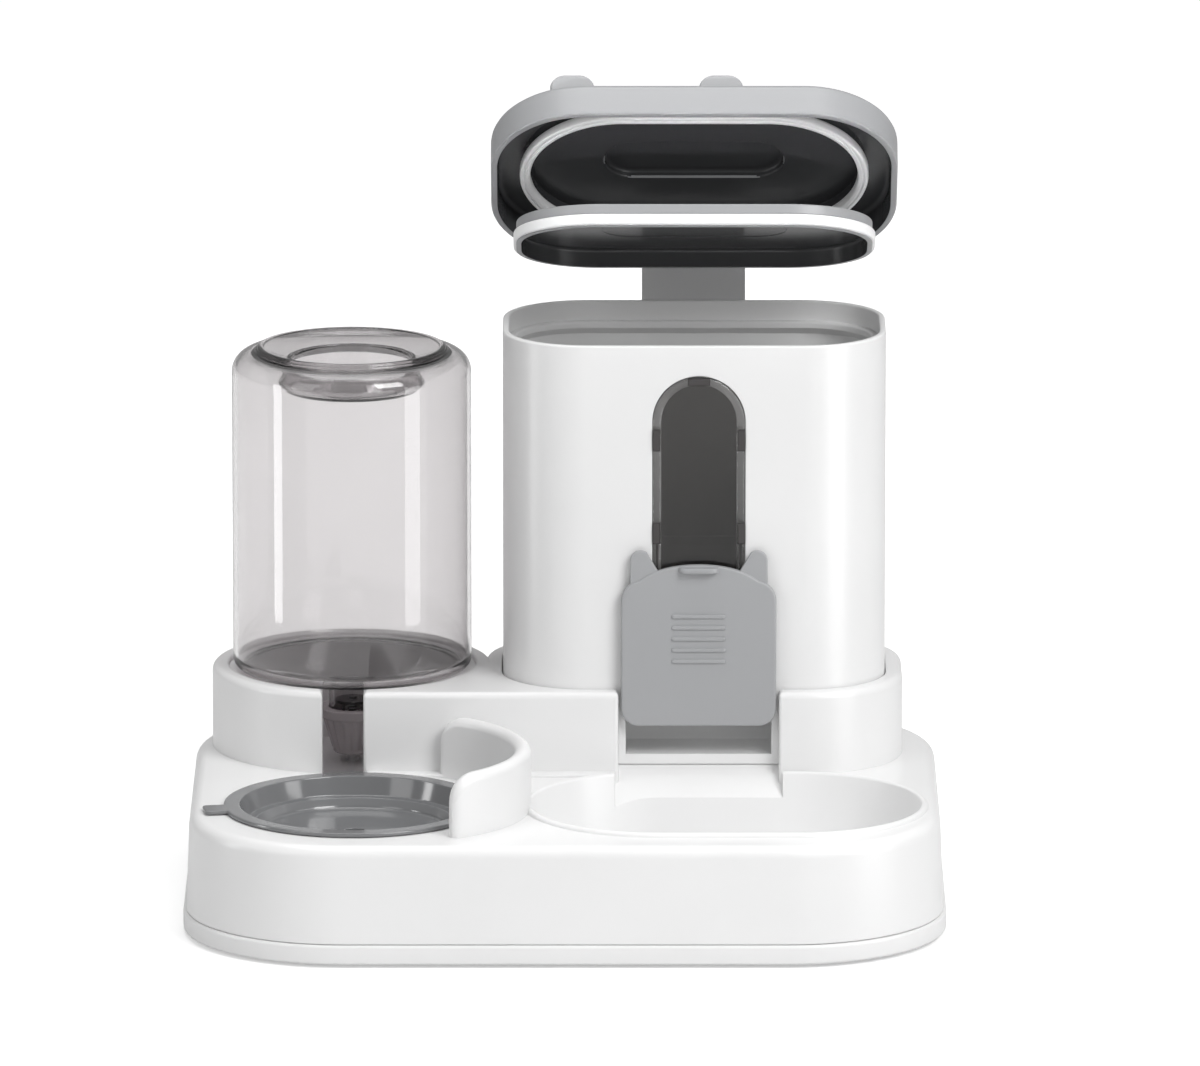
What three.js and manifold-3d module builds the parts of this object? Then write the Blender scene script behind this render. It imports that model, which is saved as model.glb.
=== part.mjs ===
// A gravity feeder for pets: a base tray with a food bowl and a water bowl, a food bin with a
// sliding gate and two hinged lids, and an upturned water bottle with a valve in its cap.
// Millimetres, +Z up, front towards -Y. The origin is on the floor, under the middle of the base.

import * as THREE from "three";
import { mergeVertices } from "three/addons/utils/BufferGeometryUtils.js";
import Module from "manifold-3d";

const wasm = await Module();
wasm.setup();

// Clearances and small edges shared by many pieces
const fitGap = 0.3;
const overrun = 1;
const smallEdge = 0.8;
const steelPinRadius = 1.5;

// Base tray
const baseDepth = 290;
const bottleSideMargin = 9.3;
const binSideMargin = 17.5;
const collarMerge = 3.2;
const deckHeight = 58;
const frontCornerRadius = 75;
const rearCornerRadius = 82;
const deckEdgeRadius = 6;
const baseDraft = 1.5;
const trayWall = 3;
const bossRadius = 4.5;
const bossRibLength = 9;
const bossRibRise = 11;

// Bottom cover, its screws and its feet
const coverLip = 1.5;
const coverHeight = 11;
const coverPlate = 3;
const coverRim = 4;
const footRadius = 9;
const footStandoff = 1.5;
const footThickness = 2.8;
const screwRadius = 1.7;
const screwHeadRadius = 3.7;
const screwHeadHeight = 2.2;
const screwLength = 20;
const outerScrewShares = [[-0.89, 0.03], [0.9, 0.14], [-0.86, 0.72], [0.86, 0.72]];
const middleScrewShares = [-0.77, 0.76];
const middleScrewInset = 1.2;
const footPlaceShares = [[-0.72, -0.74], [0.72, -0.74], [-0.74, 0.74], [0.74, 0.74]];

// Collars that hold the bottle and the bin
const collarTop = 98;
const collarWall = 8;
const collarEdgeRadius = 3.5;

// Water bottle
const bottleY = 72;
const bottleRadius = 57.7;
const bottleSeat = 96;
const bottleTop = 254;
const bottleWall = 2.2;
const bottleHeelRadius = 5;
const bottleShoulderRadius = 10;
const bottleRingRadius = 45.4;
const bottleRingHeight = 2.4;
const gripMouthRadius = 29;
const gripMouthDrop = 5;
const gripFloorRadius = 33;
const gripDepth = 19;
const neckRadius = 11.5;
const neckWall = 2.2;
const neckTop = 87;
const neckEnd = 70.3;
const bottleClearance = 2;
const wellRadius = 50;
const wellFloor = 49;

// Slot that shows the neck and carries water to the bowl
const slotOffset = -3.7;
const slotWidth = 23.4;
const slotFlare = 2.5;

// Bottle cap and its valve
const capTop = 76;
const capBandHeight = 4.5;
const capBandRadius = 16.5;
const capConeRadius = 15;
const capMouthRadius = 9.4;
const capMouthHeight = 53.4;
const capWall = 1.7;
const capWebHeight = 60;
const capWebThickness = 2.5;
const gasketThickness = 1.1;
const capRibCount = 16;
const capRibDepth = 0.7;
const valveHoleRadius = 5;
const valveLift = 4;
const valveRodRadius = 2;
const valveDiscRadius = 6.8;
const valveDiscThickness = 2;
const valveSealThickness = 1.2;
const cageRadius = 8.8;
const cageWall = 1.4;
const cageHeight = 17;
const cageLegCount = 3;
const springRadius = 4;
const springWire = 0.8;
const springTurns = 4;
const postRadius = 3;

// Water bowl insert
const waterBowlMargin = 17.7;
const waterBowlY = -63;
const waterFlangeRadius = 62.3;
const waterRimRadius = 54.6;
const waterLedgeRadius = 52;
const waterLedgeDrop = 9;
const waterLedgeWidth = 4.8;
const waterFloorRadius = 45;
const waterBowlDepth = 13.6;
const waterBowlWall = 2;
const waterDrainRadius = 5;
const waterTabWidth = 13;
const waterTabLength = 10;
const waterTabAngle = THREE.MathUtils.degToRad(189);
const basinGap = 2.5;

// Splash wall between the two bowls
const splashOffset = 8;
const splashY = -62;
const splashInnerRadius = 68;
const splashWall = 8;
const splashTop = 88;
const splashEndRadius = 14;
const splashEndShares = [0, 0.08, 0.3, 0.6, 1];
const splashStart = THREE.MathUtils.degToRad(-58);
const splashEnd = THREE.MathUtils.degToRad(63);

// Food bowl
const foodBowlMargin = 10.5;
const foodBowlY = -60;
const foodBowlSpread = 2;
const foodBowlDepth = 121;
const foodBowlFloor = 22;
const foodBowlDraft = 6;
const foodBowlFillet = 9;
const foodLipWidth = 3.4;
const foodLipHeight = 2;

// Chute from the bin down to the food bowl
const frontCentreOffset = 2;
const chuteWidth = 77;
const chuteReach = 35;
const chuteDrop = 36;

// Food bin
const binY = 68;
const binWidth = 184;
const binDepth = 110;
const binCornerRadius = 40;
const binWall = 3;
const binTop = 266;
const binSeat = 61;
const binClearance = 0.5;
const binLedgeDrop = 9.5;
const binLedgeWidth = 3.6;
const binLedgeSlope = 6.5;
const hopperTop = 150;
const hopperFloor = 66;
const hopperMouthDepth = 26;
const hopperRim = 1.6;
const hopperRimHeight = 4;
const shelfWidth = 2.2;
const shelfHeight = 2.5;
const shelfDrop = 3.5;
const outletWidth = 70;
const outletHeight = 26;

// Window in the front of the bin
const windowWidth = 44;
const windowTop = 251;
const windowBottom = 118;
const windowRim = 4;
const windowRelief = 0.8;
const windowProud = 0.6;
const windowFlange = 3.6;
const windowFlangeThickness = 2;
const clipLength = 10;
const clipWidth = 3.2;
const clipHeightShares = [0.83, 0.42];

// Sliding gate
const gateWidth = 74.4;
const gateBottom = 81;
const gateShoulder = 150;
const gateCrown = 160;
const gateThickness = 3;
const gateStandoff = 3;
const gateCornerRadius = 8.5;
const gateEarHeight = 17;
const gateEarWidth = 15;
const gateEarThickness = 1.8;
const gateEarSweepShare = 0.7;
const gateHandleWidth = 19;
const gateHandleReach = 4;
const gateHandleHeight = 2.6;
const gripRibCount = 5;
const gripRibPitch = 5.5;
const gripRibWidth = 26;
const gripRibHeight = 2;
const gripRibProud = 0.9;
const gripCentreHeight = 124;
const gateLugX = 31;
const gateLugWidth = 3.2;
const gateLugHeight = 14;
const gateLugHead = 6.6;
const gateLugHeadThickness = 2;
const gateLugCentre = 124;
const gateTravelDown = 17;
const gateTravelUp = 22;

// Hinge plate, its channel on the back of the bin, and the pin
const plateWidth = 50;
const plateLength = 60;
const plateThickness = 4;
const plateRibWidth = 3;
const plateRibProud = 1.2;
const plateRaised = 20;
const channelLength = 84;
const channelDrop = 5;
const channelWall = 3.4;
const channelLip = 4;
const pivotSetback = 8;
const pivotRise = 1;
const knuckleRadius = 4;
const knuckleGap = 0.4;
const plateKnuckleWidth = 12;
const innerKnuckleX = 11;
const innerKnuckleWidth = 8;
const outerKnuckleX = 21;
const outerKnuckleWidth = 8;

// Outer lid
const outerLidOverhang = 5.75;
const outerLidWall = 3;
const outerLidHeight = 18.3;
const outerLidDrop = 2.9;
const outerLidEdge = 4;
const outerLidOpen = THREE.MathUtils.degToRad(46);
const lidRecessWidth = 86;
const lidRecessDepth = 29;
const lidRecessHeight = 4;
const earWidth = 21;
const earHeight = 9;
const earThickness = 5;
const earSetback = 6;
const earPlaceShares = [-0.3, 0.065];

// Seal ring under the outer lid
const ringInsetX = 8;
const ringInsetY = 5.5;
const ringThickness = 5.2;
const ringRibThickness = 2.6;
const ringHeight = 5;

// Inner lid and the seal around it
const innerLidInset = 6.5;
const innerLidHeight = 11;
const innerLidWall = 2.4;
const innerLidFlange = 4.8;
const innerLidCornerGrow = 0.4;
const innerLidOpen = THREE.MathUtils.degToRad(23.5);
const innerSealProud = 1.4;
const innerSealHeight = 5.4;
const innerRecessWidth = 89;
const innerRecessDepth = 34;

// Levels and sizes worked out from the driving dimensions
const bottleCollarRadius = bottleRadius + bottleClearance + collarWall;
const binCollarWidth = binWidth + 2 * (binClearance + collarWall);
const baseWidth = bottleSideMargin + 2 * bottleCollarRadius - collarMerge + binCollarWidth + binSideMargin;
const bottleX = -baseWidth / 2 + bottleSideMargin + bottleCollarRadius;
const binX = baseWidth / 2 - binSideMargin - binCollarWidth / 2;
const slotX = bottleX + slotOffset;
const waterBowlX = -baseWidth / 2 + waterBowlMargin + waterFlangeRadius;
const splashX = waterBowlX + splashOffset;
const foodBowlWidth = binWidth + foodBowlSpread;
const foodBowlX = baseWidth / 2 - foodBowlMargin - foodBowlWidth / 2;
const frontCentreX = binX + frontCentreOffset;
const middleScrewX = binX - binWidth / 2 + middleScrewInset;
const ringWidth = binWidth - 2 * ringInsetX;
const ringDepth = binDepth - 2 * ringInsetY;
const innerLidWidth = binWidth - 2 * innerLidInset;
const innerLidDepth = binDepth - 2 * innerLidInset;
const innerLidCornerRadius = binCornerRadius + innerLidCornerGrow;
const trayBottom = coverHeight + fitGap;
const coverBottom = footStandoff;
const binFront = binY - binDepth / 2;
const binRear = binY + binDepth / 2;
const collarFront = binFront - binClearance - collarWall;
const waterFlangeTop = deckHeight + fitGap + waterBowlWall;
const waterFloorTop = waterFlangeTop - waterBowlDepth;
const waterLedgeTop = waterFlangeTop - waterLedgeDrop;
const basinFloor = waterFloorTop - waterBowlWall - basinGap;
const binLedge = binTop - binLedgeDrop;
const hopperSeat = binWall + fitGap;
const pivotHeight = binTop + pivotRise;
const channelTop = pivotHeight - channelDrop;
const outerLidBottom = binTop - outerLidDrop;
const innerLidBottom = binLedge + fitGap;
const innerLidTop = innerLidBottom + innerLidHeight;
const outerLidTop = outerLidBottom + outerLidHeight;
const outerLidWidth = binWidth + 2 * outerLidOverhang;
const outerLidDepth = binDepth + 2 * outerLidOverhang;
const outerLidCorner = binCornerRadius + outerLidOverhang;
const pivotY = binRear + pivotSetback;
const gateBack = binFront - gateStandoff;
const gateFront = gateBack - gateThickness;
const capWebTop = capWebHeight + capWebThickness;
const valveSealBottom = capWebTop + fitGap + valveLift;
const valveDiscBottom = valveSealBottom + valveSealThickness + fitGap;
const valveDiscTop = valveDiscBottom + valveDiscThickness;
const cageBottom = capWebTop + fitGap;
const cageTop = cageBottom + cageHeight;
const stemTip = capMouthHeight + valveLift - smallEdge;
const capBoreFloor = neckEnd - 3 * fitGap - gasketThickness;

// Counts of facets on round work
const wideFacets = 32;
const capFacets = 20;
const smallFacets = 12;
const cornerFacets = 6;
const edgeFacets = 3;
const fineEdgeFacets = 2;
const fineEdgeLimit = 4;
const springStepsPerTurn = 8;
const springSides = 3;

// Materials
const material = (colour, roughness, extra = {}) =>
  new THREE.MeshStandardMaterial({ color: colour, roughness, metalness: 0, ...extra });
const whitePlastic = material(0xf1f1f0, 0.4);
const greyPlastic = material(0x9d9ea0, 0.45);
const darkPlastic = material(0x4a4649, 0.5);
const smokyClear = material(0xb9b2b6, 0.1, { transparent: true, opacity: 0.45 });
const clearPane = material(0xdfe3e6, 0.08, { transparent: true, opacity: 0.35 });
const softSeal = material(0xe4e5e6, 0.6);
const rubber = material(0x6b6c6e, 0.8);
const steel = material(0xb8babd, 0.3, { metalness: 1 });

// Turning three.js geometry into closed solids and back
function toSolid(geometry) {
  const bare = geometry.clone();
  bare.deleteAttribute("normal");
  bare.deleteAttribute("uv");
  const merged = mergeVertices(bare);
  const position = merged.attributes.position;
  const index = merged.index.array;
  const kept = [];
  for (let t = 0; t < index.length; t += 3) {
    const [a, b, c] = [index[t], index[t + 1], index[t + 2]];
    if (a !== b && b !== c && c !== a) kept.push(a, b, c);
  }
  if (signedVolume(position, kept) < 0) {
    for (let t = 0; t < kept.length; t += 3) {
      [kept[t], kept[t + 1]] = [kept[t + 1], kept[t]];
    }
  }
  return new wasm.Manifold(new wasm.Mesh({
    numProp: 3,
    vertProperties: new Float32Array(position.array),
    triVerts: new Uint32Array(kept),
  }));
}

function signedVolume(position, triangles) {
  const [p, q, r] = [new THREE.Vector3(), new THREE.Vector3(), new THREE.Vector3()];
  let sum = 0;
  for (let t = 0; t < triangles.length; t += 3) {
    p.fromBufferAttribute(position, triangles[t]);
    q.fromBufferAttribute(position, triangles[t + 1]);
    r.fromBufferAttribute(position, triangles[t + 2]);
    sum += p.dot(q.cross(r));
  }
  return sum;
}

function toGeometry(solid) {
  const mesh = solid.getMesh();
  const geometry = new THREE.BufferGeometry();
  geometry.setAttribute("position", new THREE.BufferAttribute(mesh.vertProperties, 3));
  geometry.setIndex(new THREE.BufferAttribute(mesh.triVerts, 1));
  geometry.computeVertexNormals();
  return geometry;
}

const join = (...solids) => solids.reduce((whole, next) => whole.add(next));
const cut = (solid, ...tools) => tools.reduce((rest, tool) => rest.subtract(tool), solid);

// A solid through closed sections of equal point counts, with flat ends
function loft(sections, flat) {
  const count = sections[0].length;
  const positions = sections.flat().flatMap((point) => point.toArray());
  const triangles = [];
  for (let level = 0; level + 1 < sections.length; level += 1) {
    for (let i = 0; i < count; i += 1) {
      const a = level * count + i;
      const b = level * count + (i + 1) % count;
      triangles.push(a, b, b + count, a, b + count, a + count);
    }
  }
  const last = (sections.length - 1) * count;
  for (const [a, b, c] of THREE.ShapeUtils.triangulateShape(flat, [])) {
    triangles.push(c, b, a, last + a, last + b, last + c);
  }
  const geometry = new THREE.BufferGeometry();
  geometry.setAttribute("position", new THREE.Float32BufferAttribute(positions, 3));
  geometry.setIndex(triangles);
  return toSolid(geometry);
}

// A solid stacked from level outlines, each {outline, z}
function stack(levels, x = 0, y = 0) {
  const sections = levels.map(({ outline, z }) =>
    outline.map((point) => new THREE.Vector3(point.x + x, point.y + y, z)));
  return loft(sections, levels[0].outline);
}

// A rectangle with round corners, wider at the front or the rear if the radii differ
function roundRect(width, depth, frontRadius, rearRadius = frontRadius) {
  const corners = [
    [1, -1, frontRadius, -90], [1, 1, rearRadius, 0],
    [-1, 1, rearRadius, 90], [-1, -1, frontRadius, 180],
  ];
  return corners.flatMap(([sideX, sideY, radius, start]) =>
    Array.from({ length: cornerFacets + 1 }, (_, i) => {
      const angle = THREE.MathUtils.degToRad(start + 90 * i / cornerFacets);
      return new THREE.Vector2(
        sideX * (width / 2 - radius) + radius * Math.cos(angle),
        sideY * (depth / 2 - radius) + radius * Math.sin(angle));
    }));
}

// Insets and heights of an edge rounded over at the top of a wall
function roundedEdge(top, radius) {
  const facets = radius < fineEdgeLimit ? fineEdgeFacets : edgeFacets;
  return Array.from({ length: facets + 1 }, (_, i) => {
    const angle = Math.PI / 2 * i / facets;
    return { inset: radius * (1 - Math.cos(angle)), z: top - radius + radius * Math.sin(angle) };
  });
}

// The same edge at the foot of a wall, rounded under
function roundedFoot(bottom, radius) {
  return roundedEdge(-bottom, radius).reverse().map(({ inset, z }) => ({ inset, z: -z }));
}

// A block with a round-cornered plan; each level has an inset and a height
function block(width, depth, radius, levels, x, y, rearRadius = radius) {
  return stack(levels.map(({ inset, z }) => ({
    outline: roundRect(width - 2 * inset, depth - 2 * inset, radius - inset, rearRadius - inset),
    z,
  })), x, y);
}

const straight = (bottom, top) => [{ inset: 0, z: bottom }, { inset: 0, z: top }];

// A solid turned about an upright axis from [radius, height] pairs
function turned(profile, x, y, facets = wideFacets) {
  const points = profile.map(([radius, height]) => new THREE.Vector2(radius, height));
  const geometry = new THREE.LatheGeometry(points, facets);
  geometry.rotateX(Math.PI / 2);
  geometry.translate(x, y, 0);
  return toSolid(geometry);
}

// A plain round bar between two heights, or along X
function bar(radius, bottom, top, x, y, facets = smallFacets) {
  return turned([[0, bottom], [radius, bottom], [radius, top], [0, top]], x, y, facets);
}

function barAlongX(radius, left, right, y, z) {
  const geometry = new THREE.CylinderGeometry(radius, radius, right - left, smallFacets);
  geometry.rotateZ(Math.PI / 2);
  geometry.translate((left + right) / 2, y, z);
  return toSolid(geometry);
}

// A plain box from its low corner to its high corner
function box(low, high) {
  const size = high.map((value, axis) => value - low[axis]);
  const geometry = new THREE.BoxGeometry(...size);
  geometry.translate(...low.map((value, axis) => value + size[axis] / 2));
  return toSolid(geometry);
}

// A flat shape in X and Z, standing up and running back from the front face
function upright(shape, front, back) {
  const geometry = new THREE.ExtrudeGeometry(shape, {
    depth: back - front, bevelEnabled: false, curveSegments: cornerFacets,
  });
  geometry.rotateX(Math.PI / 2);
  geometry.translate(0, back, 0);
  return toSolid(geometry);
}

// A flat shape in Y and Z, running along X
function sideways(points, left, right) {
  const geometry = new THREE.ExtrudeGeometry(new THREE.Shape(points), {
    depth: right - left, bevelEnabled: false,
  });
  geometry.rotateY(Math.PI / 2);
  geometry.rotateX(Math.PI / 2);
  geometry.translate(left, 0, 0);
  return toSolid(geometry);
}

// Hollows in the tray. Each can be grown by a wall, for the skin seen from below.
function foodBowlHollow(grow) {
  const fillet = roundedFoot(foodBowlFloor - grow, foodBowlFillet)
    .map(({ inset, z }) => ({ inset: inset + foodBowlDraft, z }));
  return block(foodBowlWidth + 2 * grow, foodBowlDepth + 2 * grow, foodBowlDepth / 2 + grow,
    [...fillet, ...straight(deckHeight, deckHeight + foodLipHeight + overrun)],
    foodBowlX, foodBowlY);
}

function waterBasinHollow(grow) {
  const radius = waterRimRadius + waterBowlWall + fitGap + grow;
  return bar(radius, basinFloor - grow, deckHeight + overrun, waterBowlX, waterBowlY, wideFacets);
}

function bottleWellHollow(grow) {
  const bore = bottleRadius + bottleClearance;
  const seat = bottleSeat - fitGap - grow;
  return turned([
    [0, wellFloor - grow], [wellRadius + grow, wellFloor - grow], [wellRadius + grow, seat],
    [bore + grow, seat], [bore + grow, collarTop + overrun], [0, collarTop + overrun],
  ], bottleX, bottleY);
}

function binWellHollow(grow) {
  const side = 2 * (binClearance + grow);
  return block(binWidth + side, binDepth + side, binCornerRadius + side / 2,
    straight(binSeat - fitGap - grow, collarTop + overrun), binX, binY);
}

function chuteHollow(grow) {
  const high = binSeat - fitGap - grow;
  const rear = binFront + overrun;
  const half = chuteWidth / 2 + grow;
  return sideways([
    new THREE.Vector2(rear, collarTop + overrun), new THREE.Vector2(rear, high),
    new THREE.Vector2(collarFront - chuteReach, high - chuteDrop),
    new THREE.Vector2(collarFront - chuteReach, collarTop + overrun),
  ], frontCentreX - half, frontCentreX + half);
}

function slotHollow(grow) {
  const half = slotWidth / 2 + grow;
  const flared = half + slotFlare;
  const bend = collarTop - slotFlare;
  const shape = new THREE.Shape();
  shape.moveTo(slotX - half, wellFloor - grow);
  shape.lineTo(slotX + half, wellFloor - grow);
  shape.lineTo(slotX + half, bend);
  shape.absarc(slotX + flared, bend, slotFlare, Math.PI, Math.PI / 2, true);
  shape.lineTo(slotX + flared, collarTop + overrun);
  shape.lineTo(slotX - flared, collarTop + overrun);
  shape.lineTo(slotX - flared, collarTop);
  shape.absarc(slotX - flared, bend, slotFlare, Math.PI / 2, 0, true);
  return upright(shape, waterBowlY, bottleY);
}

// Tray: deck, collars, bowls, splash wall and the hollow underside
function trayOutline(inset) {
  return roundRect(baseWidth - 2 * inset, baseDepth - 2 * inset,
    frontCornerRadius - inset, rearCornerRadius - inset);
}

function trayBody() {
  const edge = roundedEdge(deckHeight, deckEdgeRadius);
  return stack([
    { outline: trayOutline(0), z: trayBottom },
    ...edge.map(({ inset, z }) => ({ outline: trayOutline(baseDraft + inset), z })),
  ]);
}

// Both collars and the wall between them, or their hollow core if shrunk by a wall
function collars(shrink) {
  const foot = deckHeight - deckEdgeRadius;
  const levels = shrink ? straight(foot, collarTop - shrink)
    : [{ inset: 0, z: foot }, ...roundedEdge(collarTop, collarEdgeRadius)];
  const collar = (width, depth, radius, x, y) =>
    block(width - 2 * shrink, depth - 2 * shrink, radius - shrink, levels, x, y);
  const binSide = 2 * (binClearance + collarWall);
  const binCollar = collar(binWidth + binSide, binDepth + binSide,
    binCornerRadius + binSide / 2, binX, binY);
  const bottleCollar = turned([
    [0, foot], ...levels.map(({ inset, z }) => [bottleCollarRadius - shrink - inset, z]),
    [0, collarTop - shrink],
  ], bottleX, bottleY);
  const bridgeDepth = bottleY - collarFront;
  const bridge = collar(binX - bottleX + 2 * collarWall, bridgeDepth,
    collarEdgeRadius + smallEdge, (binX + bottleX) / 2, collarFront + bridgeDepth / 2);
  return join(binCollar, bottleCollar, bridge);
}

function splashHeight(angle) {
  const radius = splashInnerRadius + splashWall / 2;
  const fromEnd = radius * Math.min(angle - splashStart, splashEnd - angle);
  const run = Math.max(splashEndRadius - fromEnd, 0);
  return splashTop - splashEndRadius + Math.sqrt(splashEndRadius ** 2 - run ** 2);
}

function splashSection(angle) {
  const top = splashHeight(angle);
  const half = splashWall / 2;
  const foot = deckHeight - deckEdgeRadius;
  const points = [[-half, foot], [half, foot]];
  for (let i = 0; i <= 2 * edgeFacets; i += 1) {
    const turn = Math.PI * i / (2 * edgeFacets);
    points.push([half * Math.cos(turn), top - half + half * Math.sin(turn)]);
  }
  return points.map(([across, z]) => [splashInnerRadius + half + across, z]);
}

function splashSteps() {
  const radius = splashInnerRadius + splashWall / 2;
  const cornerAngle = splashEndRadius / radius;
  const corner = splashEndShares.map((share) => share * cornerAngle);
  const middle = wideFacets / 4;
  const from = splashStart + cornerAngle;
  const to = splashEnd - cornerAngle;
  const between = Array.from({ length: middle - 1 }, (_, i) =>
    from + (to - from) * (i + 1) / middle);
  return [
    ...corner.map((angle) => splashStart + angle),
    ...between,
    ...corner.map((angle) => splashEnd - angle).reverse(),
  ];
}

function splashGuard() {
  const sections = splashSteps().map((angle) => splashSection(angle).map(([radius, z]) =>
    new THREE.Vector3(splashX + radius * Math.cos(angle), splashY + radius * Math.sin(angle), z)));
  const flat = splashSection(splashStart).map(([radius, z]) => new THREE.Vector2(radius, z));
  return loft(sections, flat);
}

function screwPlaces() {
  const outer = outerScrewShares.map(([x, y]) => [x * baseWidth / 2, y * baseDepth / 2]);
  const [front, rear] = middleScrewShares.map((y) => [middleScrewX, y * baseDepth / 2]);
  return [front, ...outer, rear];
}

function trayBoss([x, y]) {
  const top = deckHeight - trayWall / 2;
  const rib = box([x - bossRibLength, y - smallEdge, trayBottom + bossRibRise],
    [x + bossRibLength, y + smallEdge, top]);
  return join(bar(bossRadius, trayBottom, top, x, y), rib);
}

function baseTray() {
  const hollows = (grow) => [foodBowlHollow(grow), waterBasinHollow(grow), bottleWellHollow(grow),
    binWellHollow(grow), chuteHollow(grow), slotHollow(grow)];
  const lip = block(foodBowlWidth + 2 * foodLipWidth, foodBowlDepth + 2 * foodLipWidth,
    foodBowlDepth / 2 + foodLipWidth,
    [
      { inset: 0, z: deckHeight - deckEdgeRadius },
      ...roundedEdge(deckHeight + foodLipHeight, foodLipHeight),
    ], foodBowlX, foodBowlY);
  const core = stack(straight(trayBottom - overrun, deckHeight - trayWall)
    .map(({ z }) => ({ outline: trayOutline(trayWall + baseDraft), z })));
  const underside = cut(join(core, collars(trayWall)), ...hollows(trayWall));
  const post = bar(postRadius, wellFloor - trayWall, stemTip - fitGap, bottleX, bottleY);
  const bosses = screwPlaces().map(trayBoss);
  const pilots = screwPlaces().map(([x, y]) =>
    bar(screwRadius + fitGap, trayBottom - overrun, coverBottom + screwLength + overrun, x, y));
  const outside = join(trayBody(), collars(0), lip, splashGuard());
  const moulded = cut(outside, ...hollows(0), underside);
  return cut(join(moulded, post, ...bosses), ...pilots);
}

// Bottom cover with countersunk holes and shallow seats for the feet
function footPlaces() {
  return footPlaceShares.map(([x, y]) => [x * baseWidth / 2, y * baseDepth / 2]);
}

function bottomCover() {
  const outline = (inset) => trayOutline(inset - coverLip);
  const body = stack([...roundedFoot(coverBottom, coverLip), ...roundedEdge(coverHeight, coverLip)]
    .map(({ inset, z }) => ({ outline: outline(inset), z })));
  const inside = stack(straight(coverBottom + coverPlate, coverHeight + overrun)
    .map(({ z }) => ({ outline: outline(coverLip + coverRim), z })));
  const posts = screwPlaces().map(([x, y]) =>
    bar(bossRadius, coverBottom + coverPlate / 2, coverHeight, x, y));
  const headTop = coverBottom + screwHeadHeight + 2 * fitGap;
  const holes = screwPlaces().flatMap(([x, y]) => [
    bar(screwRadius + fitGap, coverBottom - overrun, coverHeight + overrun, x, y),
    bar(screwHeadRadius + fitGap, coverBottom - overrun, headTop, x, y),
  ]);
  const seats = footPlaces().map(([x, y]) =>
    bar(footRadius + fitGap, coverBottom - overrun, footThickness + fitGap, x, y));
  return cut(join(cut(body, inside), ...posts), ...holes, ...seats);
}

function foot([x, y]) {
  return turned([
    [0, 0], [footRadius - smallEdge, 0], [footRadius, smallEdge],
    [footRadius, footThickness], [0, footThickness],
  ], x, y, smallFacets);
}

function coverScrew([x, y]) {
  const headBottom = coverBottom + fitGap;
  const headTop = headBottom + screwHeadHeight;
  const screw = turned([
    [0, headBottom], [screwHeadRadius - smallEdge, headBottom], [screwHeadRadius, headTop],
    [screwRadius, headTop], [screwRadius, headTop + screwLength - screwRadius * 2],
    [0, headTop + screwLength - screwRadius],
  ], x, y, smallFacets);
  const slot = [screwHeadRadius / 2, smallEdge / 2];
  const cross = [slot, slot.toReversed()].map(([across, along]) =>
    box([x - across, y - along, headBottom - overrun],
      [x + across, y + along, headBottom + smallEdge]));
  return cut(screw, ...cross);
}

// Water bowl insert, a shallow stepped dish with a lifting tab and a drain hole
function waterBowl() {
  const wall = waterBowlWall;
  const edge = smallEdge / 2;
  const flangeBottom = waterFlangeTop - wall;
  const dish = turned([
    [waterDrainRadius, waterFloorTop - wall], [waterFloorRadius + wall, waterFloorTop - wall],
    [waterFloorRadius + wall + edge, waterLedgeTop - wall],
    [waterLedgeRadius + wall, waterLedgeTop - wall],
    [waterRimRadius + wall, flangeBottom], [waterFlangeRadius - edge, flangeBottom],
    [waterFlangeRadius, flangeBottom + edge], [waterFlangeRadius, waterFlangeTop - edge],
    [waterFlangeRadius - edge, waterFlangeTop], [waterRimRadius + edge, waterFlangeTop],
    [waterRimRadius, waterFlangeTop - edge], [waterLedgeRadius, waterLedgeTop],
    [waterLedgeRadius - waterLedgeWidth, waterLedgeTop], [waterFloorRadius, waterFloorTop],
    [waterDrainRadius, waterFloorTop], [waterDrainRadius, waterFloorTop - wall],
  ], waterBowlX, waterBowlY);
  const tab = new THREE.Shape();
  const reach = waterFlangeRadius + waterTabLength;
  const half = waterTabWidth / 2;
  tab.moveTo(waterFlangeRadius - waterTabLength / 2, -half);
  const corner = waterTabWidth / 6;
  tab.lineTo(reach - corner, -half);
  tab.absarc(reach - corner, -half + corner, corner, -Math.PI / 2, 0, false);
  tab.absarc(reach - corner, half - corner, corner, 0, Math.PI / 2, false);
  tab.lineTo(waterFlangeRadius - waterTabLength / 2, half);
  const geometry = new THREE.ExtrudeGeometry(tab, {
    depth: wall, bevelEnabled: false, curveSegments: edgeFacets,
  });
  geometry.rotateZ(waterTabAngle);
  geometry.translate(waterBowlX, waterBowlY, flangeBottom);
  return join(dish, toSolid(geometry));
}

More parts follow.
